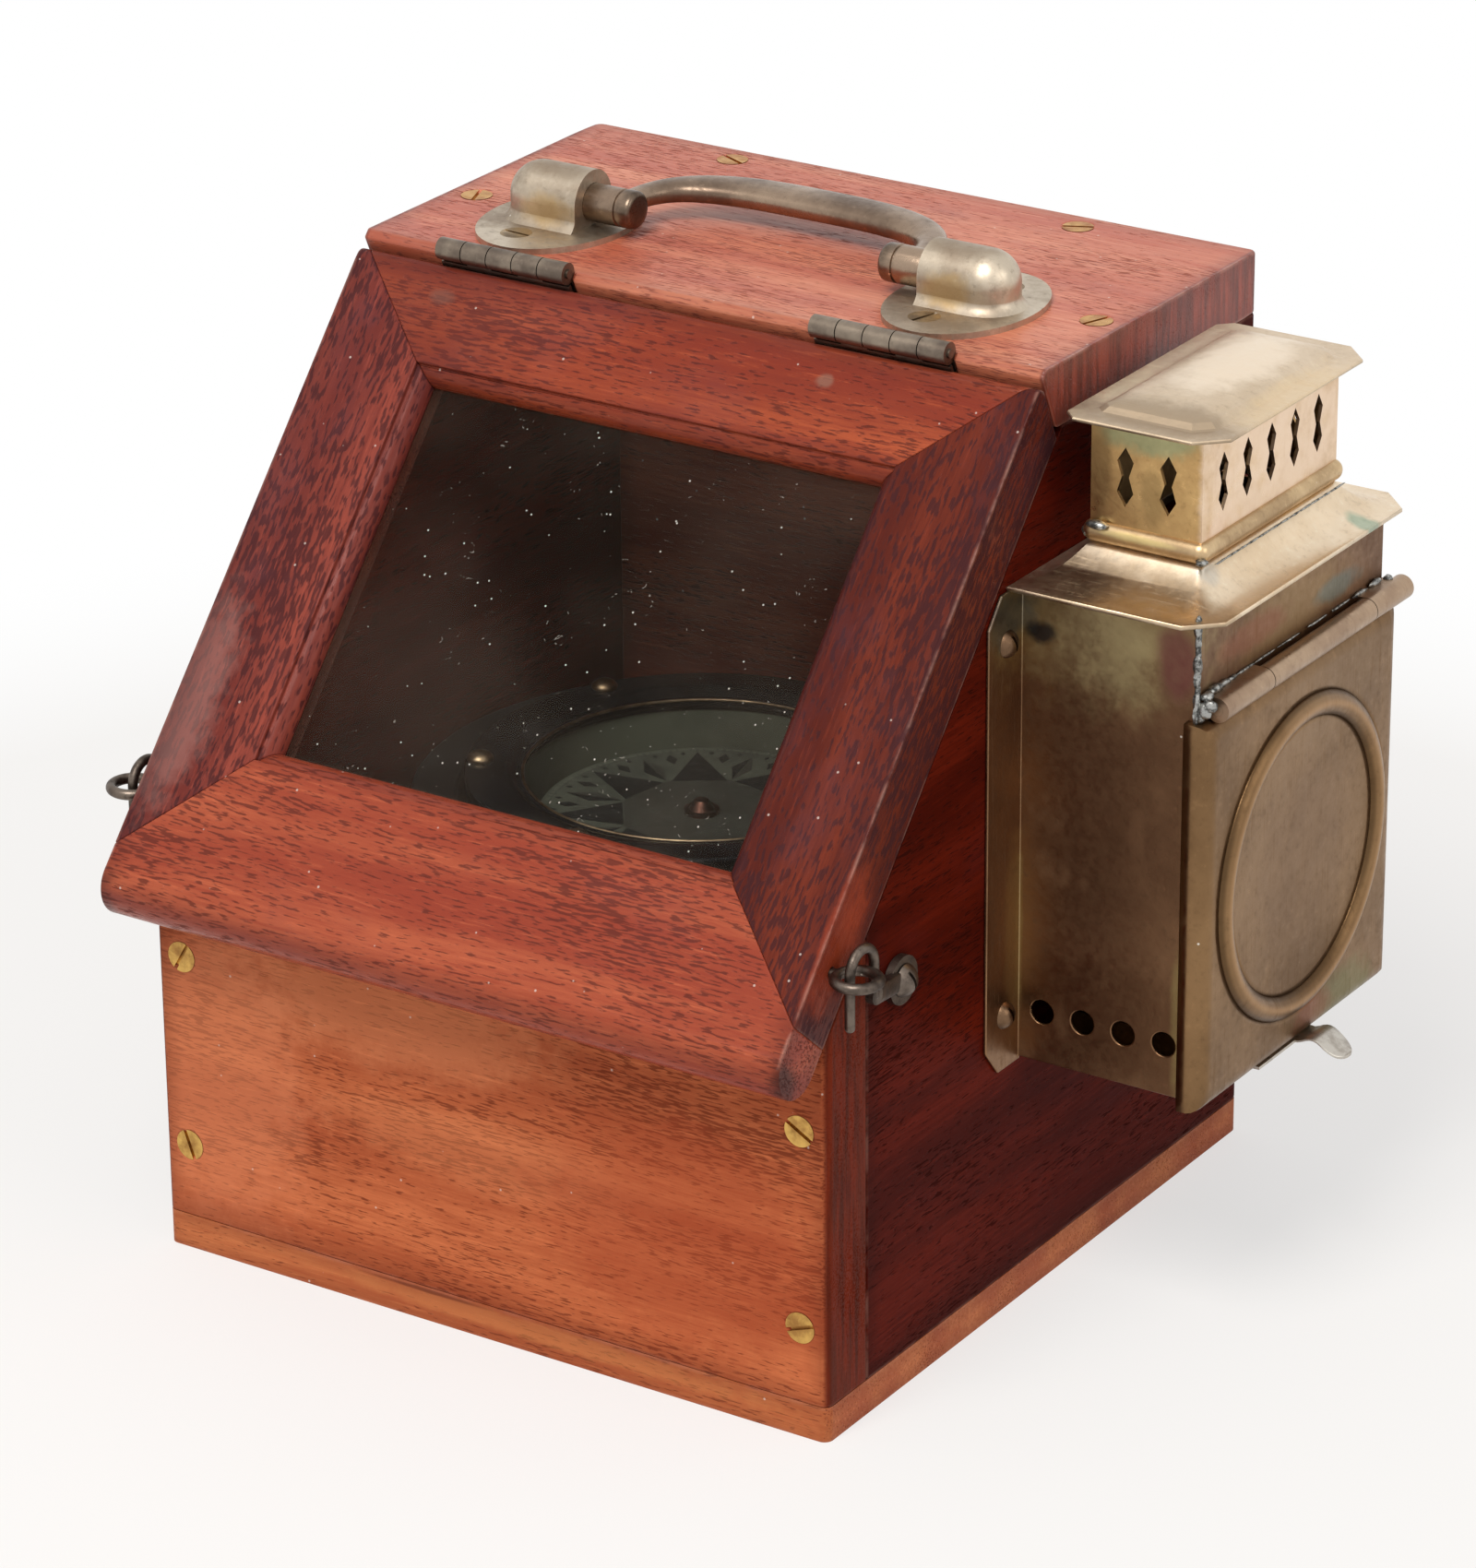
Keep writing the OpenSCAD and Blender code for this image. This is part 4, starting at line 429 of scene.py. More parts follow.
pane("door_glass", tone(128, 112, 96), 0.011, lean=slope)
mahogany("glazing_beads", tone(120, 56, 40), tone(88, 34, 26), tone(50, 20, 18), lean=slope, worn=0.0, shine=0.1)

# --- Hinges of the door ------------------------------------------------------------------------------
# A pair of five-knuckle brass butts let into the joint at the ridge, gone dark grey-brown, with the
# wear of a century on top of the knuckles.

dress(brass("hinge_brass", tone(148, 134, 118), tone(104, 92, 82), rough=0.36, cloud=60.0, grime=0.3),
      "door_hinge_leaves", "case_hinge_leaves", "door_hinge_pins")

# --- Hooks and eyes ----------------------------------------------------------------------------------
# On each side a bent wire hook turns on a round-headed screw and drops through a ring on the door.
# They are bronze wire gone nearly black, with a dull shine on the outside of the bends.

dress(brass("wire_bronze", tone(116, 104, 94), tone(70, 61, 55), rough=0.40, cloud=130.0, grime=0.5),
      "door_eyes", "left_hook", "right_hook", "hook_screws")

# --- Carrying handle -----------------------------------------------------------------------------------
# Two oval brass plates with arched housings are screwed to the top board. The bail is a flattened
# arch with slimmer necks; its pivot pins turn in the housings and end in turned stubs.

pivot_y, pivot_z = 27, 256.4
plate_brass = brass("plate_brass", tone(198, 184, 164), tone(152, 136, 118), cloud=46.0, grime=0.42,
                    stains=[((side * 0.060, y, z), size, colour, share) for side in (-1, 1)
                            for y, z, size, colour, share in
                            ((0.027, 0.2655, (0.013, 0.010, 0.0045), tone(150, 132, 112), 0.7),
                             (0.0182, 0.2550, (0.009, 0.004, 0.0055), tone(196, 160, 100), 0.5))])
dress(plate_brass, "left_handle_plate", "right_handle_plate")
dress(brass("handle_screw_brass", tone(176, 152, 116), tone(116, 98, 76), rough=0.4, cloud=150.0),
      "handle_screws")


def made(name, points, faces, finish, body, slot, *stands_for, sharp=38, closed=True):
    """A piece from points in millimetres, in place of any solids it stands for; closed skins face outwards."""
    mesh = bpy.data.meshes.new(name)
    mesh.from_pydata([(x / 1000, y / 1000, z / 1000) for x, y, z in points], [], faces)
    mesh.validate()
    if closed:
        skin = bmesh.new()
        skin.from_mesh(mesh)
        bmesh.ops.remove_doubles(skin, verts=skin.verts, dist=0.000001)
        bmesh.ops.recalc_face_normals(skin, faces=skin.faces)
        skin.to_mesh(mesh)
        skin.free()
    mesh.shade_smooth()
    mesh.set_sharp_from_angle(angle=math.radians(sharp))
    thing = bpy.data.objects.new(name, mesh)
    bpy.context.scene.collection.objects.link(thing)
    mesh.materials.append(finish)
    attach(thing, body)
    if stands_for:
        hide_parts(*stands_for)
    return thing


def skin_of(rings, ends=(True, True)):
    """Points and faces of a skin through rings of the same number of points."""
    count = len(rings[0])
    faces = [(r * count + i, r * count + (i + 1) % count, (r + 1) * count + (i + 1) % count, (r + 1) * count + i)
             for r in range(len(rings) - 1) for i in range(count)]
    if ends[0]:
        faces.append(tuple(reversed(range(count))))
    if ends[1]:
        faces.append(tuple((len(rings) - 1) * count + i for i in range(count)))
    return [point for ring in rings for point in ring], faces


def joined(*skins):
    """Several skins as one."""
    points, faces = [], []
    for more_points, more_faces in skins:
        faces += [tuple(len(points) + i for i in face) for face in more_faces]
        points += more_points
    return points, faces


def housing_foot(side):
    """The swept foot of a housing, where the casting spreads on to its oval plate."""
    inner_end, round_middle, half_wide, plate_top = 51.35, 66.8, 8.5, 250.38
    rings = []
    for k in range(9):
        wide = half_wide + 1.9 * (1 - k / 8) ** 2.2 - 0.05
        rounding = [(round_middle + wide * math.sin(a), pivot_y - wide * math.cos(a))
                    for a in (math.pi * i / 24 for i in range(25))]
        line = [(inner_end, pivot_y - wide)] + rounding + [(inner_end, pivot_y + wide)]
        rings.append([(side * x, y, plate_top + 0.42 * k) for x, y in line])
    return skin_of(rings)


for side, hand in ((-1, "left"), (1, "right")):
    made(hand + "_housing_foot", *housing_foot(side), plate_brass, "case", "brass_aged")


def bail_middle(turn):
    """The middle line of the grip, from the right neck at 0 to the left neck at 180 degrees."""
    c, s = math.cos(math.radians(turn)), math.sin(math.radians(turn))
    half_long, deep, squareness = 43.5, 27.8, 0.66
    return half_long * math.copysign(abs(c) ** squareness, c), pivot_y + deep * max(s, 0.0) ** squareness


def bail_rings(steps=84, sides=28):
    """Rings of the grip: slim at the necks, wide in the middle and flat below."""
    rings = []
    for k in range(steps + 1):
        turn = 180 * k / steps
        x, y = bail_middle(turn)
        ahead, behind = bail_middle(min(turn + 0.4, 180)), bail_middle(max(turn - 0.4, 0))
        dx, dy = ahead[0] - behind[0], ahead[1] - behind[1]
        long = math.hypot(dx, dy)
        swell = math.sin(math.radians(turn)) ** 1.5
        width, thick = 6 + 7 * swell, 5.5 + 1.5 * swell
        ring = []
        for i in range(sides):
            a = 2 * math.pi * i / sides
            side = width / 2 * math.copysign(abs(math.cos(a)) ** 0.86, math.cos(a))
            up = thick / 2 * math.copysign(abs(math.sin(a)) ** 0.8, math.sin(a))
            up = max(up, -0.38 * thick)
            ring.append((x - side * dy / long, y + side * dx / long, pivot_z + up))
        rings.append(ring)
    return rings


def pin_rings(line, sides=36):
    """Rings of a turned pivot pin, with its axis along X, from (x, radius) pairs."""
    turns = [2 * math.pi * i / sides for i in range(sides)]
    return [[(x, pivot_y + r * math.cos(turn), pivot_z + r * math.sin(turn)) for turn in turns] for x, r in line]


pin_line = ((37.3, 3.4), (37.35, 4.3), (37.9, 4.85), (38.6, 5.0), (41.2, 5.0), (41.4, 4.6), (41.9, 4.6),
            (42.1, 5.0), (65.6, 5.0), (65.8, 4.8))
pins = [skin_of(pin_rings([(side * x, r) for x, r in pin_line])) for side in (-1, 1)]
made("handle_grip", *joined(skin_of(bail_rings()), *pins),
     brass("bail_brass", tone(160, 138, 118), tone(112, 94, 80), rough=0.3, cloud=34.0, grime=0.4,
           stains=[((side * 0.039, 0.027, 0.2564), (0.004, 0.007, 0.007), tone(54, 46, 40), 0.8)
                   for side in (1, -1)]),
     "handle", "brass_aged", "handle_bail", sharp=50)

# --- Body of the lamp --------------------------------------------------------------------------------
# A box of sheet brass with clipped fixing flanges, two round-headed screws in each and a row of draught
# holes. Smoke and polish have tinted it purple by the seam; the dark brown below and the yellow at the
# top of its front are partly tarnish and partly painted reflection.

# The first two stains, pale yellow high on the front, and the dark brown one low on the front are partly painted
# reflection.
dress(brass("lamp_brass", tone(144, 110, 80), tone(110, 80, 58), rough=0.40, cloud=15.0, grime=0.3,
            stains=[((0.122, -0.016, 0.196), (0.040, 0.02, 0.030), tone(166, 146, 104), 0.75),
                    ((0.126, -0.016, 0.186), (0.018, 0.01, 0.014), tone(192, 176, 130), 0.55),
                    ((0.146, -0.016, 0.186), (0.007, 0.01, 0.012), tone(118, 62, 66), 0.7),
                    ((0.108, -0.016, 0.186), (0.005, 0.01, 0.0035), tone(34, 36, 46), 0.85),
                    ((0.103, -0.022, 0.190), (0.006, 0.012, 0.008), tone(88, 98, 104), 0.5),
                    ((0.104, -0.03, 0.195), (0.006, 0.02, 0.006), tone(50, 52, 58), 0.6),
                    ((0.128, -0.016, 0.088), (0.04, 0.02, 0.018), tone(100, 70, 48), 0.55),
                    ((0.148, -0.016, 0.090), (0.0025, 0.01, 0.022), tone(168, 150, 98), 0.55),
                    ((0.1025, -0.017, 0.105), (0.0014, 0.006, 0.030), tone(176, 156, 110), 0.5),
                    ((0.152, 0.03, 0.186), (0.01, 0.036, 0.010), tone(150, 122, 82), 0.6),
                    ((0.152, 0.012, 0.186), (0.004, 0.020, 0.005), tone(142, 84, 66), 0.5),
                    ((0.152, 0.055, 0.184), (0.004, 0.014, 0.004), tone(104, 118, 112), 0.6)]), "lamp_body")
dress(brass("flange_screw_brass", tone(116, 90, 68), tone(78, 60, 46), rough=0.36, cloud=120.0),
      "lamp_flange_screws")
soften(0.0004, "lamp_body")


def mottled(name, waves, first, second, turn, rough, bumps=None, metal=0.0, detail=5.0, knit=0.65):
    """Two tones in a fine mottle; turn is where one becomes the other, and rough how dull each of them is."""
    f = Finish(name)
    grain = f.noise(f.here(), waves, detail, knit)
    tint = f.mix(f.step(grain, *turn), first, second)
    return f.finished(tint, f.step(grain, 0.3, 0.7, *rough), bumps and (grain, *bumps), metal)


grey_solder = mottled("solder", 700.0, tone(168, 168, 164), tone(72, 72, 70), (0.4, 0.65), (0.28, 0.6),
                      (0.6, 0.0003), metal=1.0, detail=4.0)


def solder_run(name, spots, rings=7, sides=12):
    """A run of soft solder in one piece: a flattened lump at each spot, from its middle and its half sizes."""
    lumps = []
    for at, ((x, y, z), (a, b, c)) in enumerate(spots):
        lump = []
        for up in (math.pi * i / rings for i in range(rings + 1)):
            ring = []
            for turn in (2 * math.pi * k / sides for k in range(sides)):
                dent = 1 + 0.16 * math.sin(3 * turn + 1.7 * at + 2 * up) + 0.09 * math.sin(5 * turn + 2.3 * at)
                ring.append((x + a * dent * math.sin(up) * math.cos(turn),
                             y + b * dent * math.sin(up) * math.sin(turn), z + c * math.cos(up)))
            lump.append(ring)
        lumps.append(skin_of(lump, ends=(False, False)))
    made(name, *joined(*lumps), grey_solder, "case", "weight_metal", sharp=60)


solder_run("seam_solder", [
    ((151.7, -15.2, 173.5 + 3.3 * i), (0.8 + 0.2 * math.sin(2.1 * i), 1.1 + 0.3 * math.cos(1.7 * i), 3.2))
    for i in range(8)] + [
    ((152.4, -14.9, 173.9), (1.2, 1.4, 2.2)), ((153.4, -14.6, 175.2), (1.9, 1.6, 2.2)),
    ((154.8, -14.4, 176.6), (2.0, 1.1, 1.6)), ((153.2, -12.6, 178.2), (1.5, 2.4, 1.3)),
    ((152.9, -8.6, 178.7), (1.2, 3.2, 1.1)), ((152.6, -3.6, 178.4), (0.9, 2.8, 0.8)),
    ((152.4, 0.8, 178.2), (0.6, 2.8, 0.5)), ((152.3, 7.5, 178.1), (0.4, 4.4, 0.4)),
    ((152.3, 17.0, 178.1), (0.35, 5.6, 0.35)), ((152.3, 30.0, 178.1), (0.35, 6.0, 0.3)),
    ((152.3, 44.0, 178.1), (0.35, 5.0, 0.35)), ((152.3, 56.0, 178.1), (0.4, 4.6, 0.4)),
    ((152.5, 66.0, 178.2), (0.6, 3.6, 0.6)), ((152.7, 74.0, 178.4), (0.9, 3.0, 1.0)),
    ((153.4, 79.4, 177.6), (1.3, 1.5, 1.3))])

# --- Roof of the lamp --------------------------------------------------------------------------------
# One sheet of brass beaten to a hollow sweep from a clipped rim up to the chimney. Its rim is rubbed
# bright and its hips are soft.

# The pale stain on the right slope is painted reflection.
roof_brass = brass("roof_brass", tone(240, 222, 196), tone(222, 200, 170), rough=0.36, cloud=18.0, grime=0.28,
                   stains=[((0.156, 0.062, 0.199), (0.008, 0.004, 0.004), tone(104, 158, 138), 0.55),
                           ((0.146, -0.001, 0.205), (0.006, 0.005, 0.004), tone(196, 196, 190), 0.6),
                           ((0.152, 0.03, 0.205), (0.02, 0.04, 0.006), tone(238, 212, 176), 0.4),
                           ((0.112, -0.012, 0.200), (0.012, 0.012, 0.005), tone(160, 138, 108), 0.4),
                           ((0.130, -0.014, 0.2), (0.05, 0.013, 0.012), tone(180, 156, 126), 0.85)])


def corner(x, y, ux, uy, vx, vy, clip, roundness, steps=6):
    """Points round a corner at (x, y), from clip along u to clip along v: a cut that turns into an arc."""
    points = []
    for i in range(steps + 1):
        t = i / steps
        arc = math.radians(90 * t)
        along_u = (1 - t) * (1 - roundness) + (1 - math.sin(arc)) * roundness
        along_v = t * (1 - roundness) + (1 - math.cos(arc)) * roundness
        points.append((x + clip * (ux * along_u + vx * along_v), y + clip * (uy * along_u + vy * along_v)))
    return points


roof_rim, chimney_foot = (101.5, 158, -21, 85), (113.75, 144.75, -2, 66)


def roof_ring(share, z):
    """One level of the roof, from its rim at share 0 to the foot of the chimney at share 1."""
    x0, x1, y0, y1 = (rim + share * (foot - rim) for rim, foot in zip(roof_rim, chimney_foot))
    clip = 7 * (1 - share) + 1.0
    soft = min(1.0, share * 2.5)
    plan = ([(x0, y0)] + corner(x1, y0, -1, 0, 0, 1, clip, soft) + corner(x1, y1, 0, -1, -1, 0, clip, soft)
            + [(x0, y1)])
    return [(x, y, z) for x, y in plan]


def thicken(sheet, wall):
    """Gives a sheet its wall, in metres, on its inner side."""
    thickness = sheet.modifiers.new("sheet_thickness", "SOLIDIFY")
    thickness.thickness = wall
    thickness.offset = -1.0


hem = [(0.0, 197.5), (0.0, 198.3), (0.012, 198.55)]
sweep = [(i / 16, 198.36 + 8.6 * (i / 16) ** 2.3) for i in range(1, 17)]
roof = made("lamp_roof_sheet", *skin_of([roof_ring(*level) for level in hem + sweep], ends=(False, False)),
            roof_brass, "case", "brass_aged", "lamp_roof", sharp=50, closed=False)
thicken(roof, 0.0008)

# --- Chimney and its cap -------------------------------------------------------------------------------
# A box chimney of thinner, yellower brass with slots like two lozenges end to end, set in a soldered
# half-round bead, under a cap with a flat clipped rim and a raised, hipped middle.

# The pale stain over the chimney's right face is painted reflection.
dress(brass("chimney_brass", tone(208, 170, 114), tone(172, 134, 86), rough=0.34, cloud=30.0, grime=0.3,
            stains=[((0.130, -0.002, 0.236), (0.016, 0.01, 0.005), tone(150, 160, 122), 0.7),
                    ((0.143, 0.005, 0.212), (0.006, 0.008, 0.006), tone(188, 112, 74), 0.4),
                    ((0.1465, 0.032, 0.222), (0.0035, 0.09, 0.06), tone(240, 214, 188), 0.85),
                    ((0.130, -0.002, 0.211), (0.016, 0.01, 0.0016), tone(176, 186, 140), 0.7),
                    ((0.116, -0.002, 0.226), (0.004, 0.01, 0.014), tone(120, 96, 62), 0.5),
                    ((0.131, -0.002, 0.222), (0.004, 0.01, 0.009), tone(128, 104, 66), 0.45)]), "chimney")
# The thin pale stripe along the bead's front is a painted highlight.
dress(brass("bead_brass", tone(212, 184, 142), tone(178, 150, 114), rough=0.36, cloud=60.0, grime=0.3,
            stains=[((0.128, -0.005, 0.2105), (0.014, 0.01, 0.0012), tone(232, 208, 140), 0.6)]),
      "chimney_foot_bead")
solder_run("chimney_solder", [
    ((116.6, -3.4, 212.0), (3.0, 1.7, 1.2)), ((113.0, -1.8, 209.4), (1.3, 1.8, 1.6)),
    ((145.6, -3.6, 208.2), (1.5, 1.4, 0.9))] + [
    ((148.1, 2.0 + 5.3 * i, 207.35), (0.3, 3.2 + math.sin(2.4 * i), 0.3)) for i in range(12)])


cap_sides = (114.55, 145.55, -2, 66)


def cap_ring(out, z, clip):
    """One level of the cap, set out from its sides; the corners away from the case are clipped the most."""
    x0, x1, y0, y1 = (side + sign * out for side, sign in zip(cap_sides, (-1, 1, -1, 1)))
    plan = (corner(x0, y0, 0, 1, 1, 0, clip / 2, 0.0) + corner(x1, y0, -1, 0, 0, 1, clip, 0.0)
            + corner(x1, y1, 0, -1, -1, 0, clip, 0.0) + corner(x0, y1, 1, 0, 0, -1, clip / 2, 0.0))
    return [(x, y, z) for x, y in plan]


cap_line = [(6.2, 239.5, 7.0), (6.2, 240.1, 7.0), (6.0, 240.35, 6.8), (3.0, 240.4, 5.6), (0.8, 240.5, 4.6),
            (0.0, 240.75, 4.2), (-0.7, 241.3, 3.8), (-1.5, 241.95, 3.4), (-3.0, 242.6, 2.8), (-5.5, 243.15, 2.2),
            (-8.5, 243.65, 1.6), (-11.5, 244.0, 1.1), (-14.2, 244.1, 0.6)]
# The pale stain on the raised middle is a painted highlight; the darker stain along the front is painted
# reflection of darker surroundings.
cap = made("chimney_cap_sheet", *skin_of([cap_ring(*level) for level in cap_line], ends=(False, True)),
           brass("cap_brass", tone(220, 200, 174), tone(196, 175, 147), rough=0.38, cloud=17.0, grime=0.25,
                 stains=[((0.150, 0.034, 0.2406), (0.008, 0.03, 0.003), tone(232, 206, 164), 0.5),
                         ((0.110, 0.01, 0.241), (0.006, 0.03, 0.003), tone(224, 212, 176), 0.5),
                         ((0.131, 0.038, 0.244), (0.013, 0.030, 0.004), tone(242, 225, 202), 0.85),
                         ((0.130, 0.000, 0.2412), (0.034, 0.0105, 0.005), tone(166, 146, 122), 0.85)]),
           "case", "brass_aged", "chimney_cap", sharp=14, closed=False)
thicken(cap, 0.0007)

# --- Window between lamp and case --------------------------------------------------------------------
# A disc of glass is let into the right side board, and a plain ring of dull brass holds it in. The
# flame of the lamp lights the card through it.

pane("window_glass", tone(150, 150, 132), 0.006)
dress(brass("ring_brass", tone(176, 150, 112), tone(138, 112, 80), rough=0.4, cloud=60.0), "window_ring")

# --- Door of the lamp ----------------------------------------------------------------------------------
# A folded pan of sheet brass with a ring embossed in it for stiffness, hung from a long three-knuckle
# hinge soldered to the lamp. A steel thumb tab is riveted under its lower edge.

pan_low, pan_high = (c * 1000 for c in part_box("lamp_door"))
pan_x = 155.5
emboss_y, emboss_z, emboss_radius = 32, 120, 39.4


def to_border(turn, inset):
    """How far the pan's outline, set in by inset, lies from the embossed ring's middle at a turn."""
    reach = [math.inf]
    for along, low, middle, high in ((math.cos(turn), pan_low.y, emboss_y, pan_high.y),
                                     (math.sin(turn), pan_low.z, emboss_z, pan_high.z)):
        if abs(along) > 1e-9:
            reach.append(((high - middle if along > 0 else middle - low) - inset) / abs(along))
    return min(reach)


corner_turns = [math.atan2(z - emboss_z, y - emboss_y)
                for y in (pan_low.y, pan_high.y) for z in (pan_low.z, pan_high.z)]
pan_turns = sorted([2 * math.pi * i / 120 - math.pi for i in range(120)] + corner_turns)


def pan_ring(x, inset, reach=math.inf):
    """One ring of the pan: a circle with reach for its radius, cut off at the outline set in by inset."""
    spans = [(min(reach, to_border(turn, inset)), turn) for turn in pan_turns]
    return [(x, emboss_y + r * math.cos(turn), emboss_z + r * math.sin(turn)) for r, turn in spans]


inner_flat = [(0.5, 0), (6, 0), (14, 0), (22, 0), (29, 0), (34.6, 0), (36.2, 0.03)]
half_round = [(emboss_radius + 0.3 * k, 2.1 * max(0.0, 1 - (k / 9) ** 2) ** 0.8) for k in range(-9, 10)]
folded_edge = ((4.2, 0.1), (3.2, 0.15), (2.3, 0.45), (1.5, 0.95), (0.8, 1.65), (0.3, 2.6), (0.05, 3.7),
               (0.0, 6.2))
pan_rings = [pan_ring(pan_x - 0.1 + lift - 0.35 * (1 - (min(r, 34) / 34) ** 2), 4.6, r)
             for r, lift in inner_flat + half_round + [(42.6, 0.03), (44.2, 0)]]
pan_rings += [pan_ring(pan_x - back, inset) for inset, back in folded_edge]
pan = made("lamp_door_pan", *skin_of(pan_rings, ends=(True, False)),
           brass("lamp_door_brass", tone(140, 109, 76), tone(112, 85, 58), rough=0.35, cloud=13.0, grime=0.25,
                 bead=(emboss_y / 1000, emboss_z / 1000, emboss_radius / 1000, 0.0028),
                 stains=[((0.157, 0.045, 0.163), (0.01, 0.03, 0.02), tone(150, 122, 92), 0.4),
                         ((0.156, 0.055, 0.072), (0.01, 0.02, 0.010), tone(120, 124, 84), 0.5),
                         ((0.156, 0.040, 0.074), (0.01, 0.012, 0.006), tone(140, 82, 62), 0.5),
                         ((0.157, 0.032, 0.12), (0.01, 0.03, 0.03), tone(124, 96, 72), 0.35)]),
           "lamp_door", "brass_aged", "lamp_door", sharp=50, closed=False)
thicken(pan, 0.0009)
dress(brass("knuckle_brass", tone(178, 152, 126), tone(152, 126, 104), rough=0.34, cloud=30.0, grime=0.2),
      "lamp_door_knuckle", "lamp_hinge_ends", "lamp_hinge_pin")

tab_steel = mottled("tab_steel", 260.0, tone(196, 190, 180), tone(168, 160, 150), (0.42, 0.68), (0.3, 0.42),
                    (0.3, 0.0002), metal=1.0)
tab_y, tab_half_wide, round_from, round_long = 38, 5, 163.5, 4.9
tongue = []
for x, z in ((154.6, 67.95), (156.0, 68.1), (157.2, 68.55), (158.3, 69.1), (159.4, 69.45), (160.4, 69.5),
             (161.5, 69.2), (162.6, 68.55), (163.7, 67.75), (164.8, 67.0), (165.8, 66.35), (166.7, 65.9),
             (167.5, 65.6), (168.0, 65.5), (168.3, 65.45)):
    wide = tab_half_wide * math.sqrt(max(0.03, 1 - (max(0.0, x - round_from) / round_long) ** 2))
    tongue.append([(x, tab_y + wide * side, z + 0.4 * up) for side, up in (
        (-1, -0.5), (-0.94, -1), (0, -1), (0.94, -1), (1, -0.5),
        (1, 0.5), (0.94, 1), (0, 1), (-0.94, 1), (-1, 0.5))])
strip = [[(x, y, z) for y, z in ((14.5, 67.55), (43, 67.55), (43, 68.35), (14.5, 68.35))]
         for x in (150.6, 151.0, 154.9, 155.3)]
made("thumb_tab_curl", *joined(skin_of(tongue), skin_of(strip)), tab_steel,
     "lamp_door", "steel", "thumb_tab", sharp=50)

# --- Oil font, burner and wick ---------------------------------------------------------------------------
# Inside the lamp an oblong brass font slides between two guides. Its burner holds a flat cotton wick,
# raised by two toothed wheels on a spindle with a milled knob.

dress(brass("inner_brass", tone(168, 138, 92), tone(118, 92, 62), cloud=36.0, grime=0.5),
      "oil_font", "font_guides", "burner", "wick_tube")
dress(brass("knob_brass", tone(206, 168, 100), tone(166, 128, 74), rough=0.32, cloud=120.0), "wick_winder")


def cotton():
    """A woven cotton tape, charred at its top."""
    f = Finish("cotton_wick")
    place = f.here()
    across = f.node("TexWave", {"Vector": place, "Scale": 330.0, "Distortion": 1.5, "Detail": 1.0},
                    bands_direction="X")
    down = f.node("TexWave", {"Vector": place, "Scale": 420.0, "Distortion": 1.0}, bands_direction="Z")
    weave = f.times(across, down)
    char = f.step(f.split(place)[2], 0.1212, 0.1232)
    tint = f.mix(char, f.mix(weave, tone(170, 156, 128), tone(226, 216, 192)), tone(26, 22, 20))
    return f.finished(tint, f.step(weave, 0, 1, 0.95, 0.8), (weave, 0.7, 0.0004))


dress(cotton(), "wick")

# --- Gimbals -----------------------------------------------------------------------------------------------
# The compass hangs in a black-painted brass ring on brass pins; brackets on the front and back boards
# carry the ring. The paint is worn to brown metal in a few places.

compass_y = -3.0


def black_paint(name, rough, shine=0.3, lining=None):
    """Worn black paint; lining is the colour of the inside of a bowl."""
    f = Finish(name)
    place = f.here()
    haze = f.noise(place, 40.0, 4.0, 0.6)
    chips = f.step(f.noise(place, 190.0, 4.0, 0.72), 0.70, 0.73)
    tint = f.mix(f.step(haze, 0.35, 0.7), tone(15, 16, 17), tone(34, 34, 34))
    tint = f.mix(f.times(chips, 0.6), tint, tone(104, 82, 58))
    tint = f.mix(f.times(f.specks(place, 190.0, 0.08, 0.5), 0.6), tint, tone(170, 164, 150))
    if lining:
        x, y, z = f.split(f.vector("SUBTRACT", place, (0, compass_y / 1000, 0)))
        inside = f.times(f.step(f.radius(x, y), 0.0482, 0.0480), f.step(z, 0.088, 0.090))
        tint = f.mix(inside, tint, f.mix(f.step(haze, 0.35, 0.68), lining, shade(lining, 0.72)))
    dull = f.plus(f.step(haze, 0.3, 0.7, rough - 0.05, rough + 0.08), f.times(chips, 0.25))
    return f.finished(tint, dull, (haze, 0.2, 0.0004), shine=shine)


dress(black_paint("satin_black", 0.42), "pivot_brackets", "gimbal_ring", "lubber_line")
dress(brass("pin_brass", tone(196, 158, 98), tone(148, 112, 68), rough=0.3, cloud=150.0),
      "gimbal_pins", "bowl_pins", "bracket_screws", "card_pivot")

# --- Compass ---------------------------------------------------------------------------------------------
# A deep bowl, painted olive inside, with a lead weight under it. Six dome-headed screws hold a wide
# glossy black bezel with a thin brass edge round the glass.

dress(black_paint("gloss_black", 0.14, 0.12), "compass_bezel")
dress(black_paint("bowl_paint", 0.42, lining=tone(96, 100, 84)), "compass_bowl")
pane("compass_glass", tone(96, 104, 92), 0.004, clear=0.03, lint=0.3)
dress(mottled("lead_weight", 120.0, tone(120, 120, 124), tone(84, 84, 88), (0.35, 0.65), (0.45, 0.7),
              (0.5, 0.0004), metal=0.6, knit=0.6), "bowl_weight")


def turned(line, sides=96, middle=(0.0, compass_y)):
    """Rings of a turned part with an upright axis, from (radius, height) pairs."""
    x, y = middle
    turns = [2 * math.pi * i / sides for i in range(sides)]
    return [[(x + r * math.cos(turn), y + r * math.sin(turn), z) for turn in turns] for r, z in line]


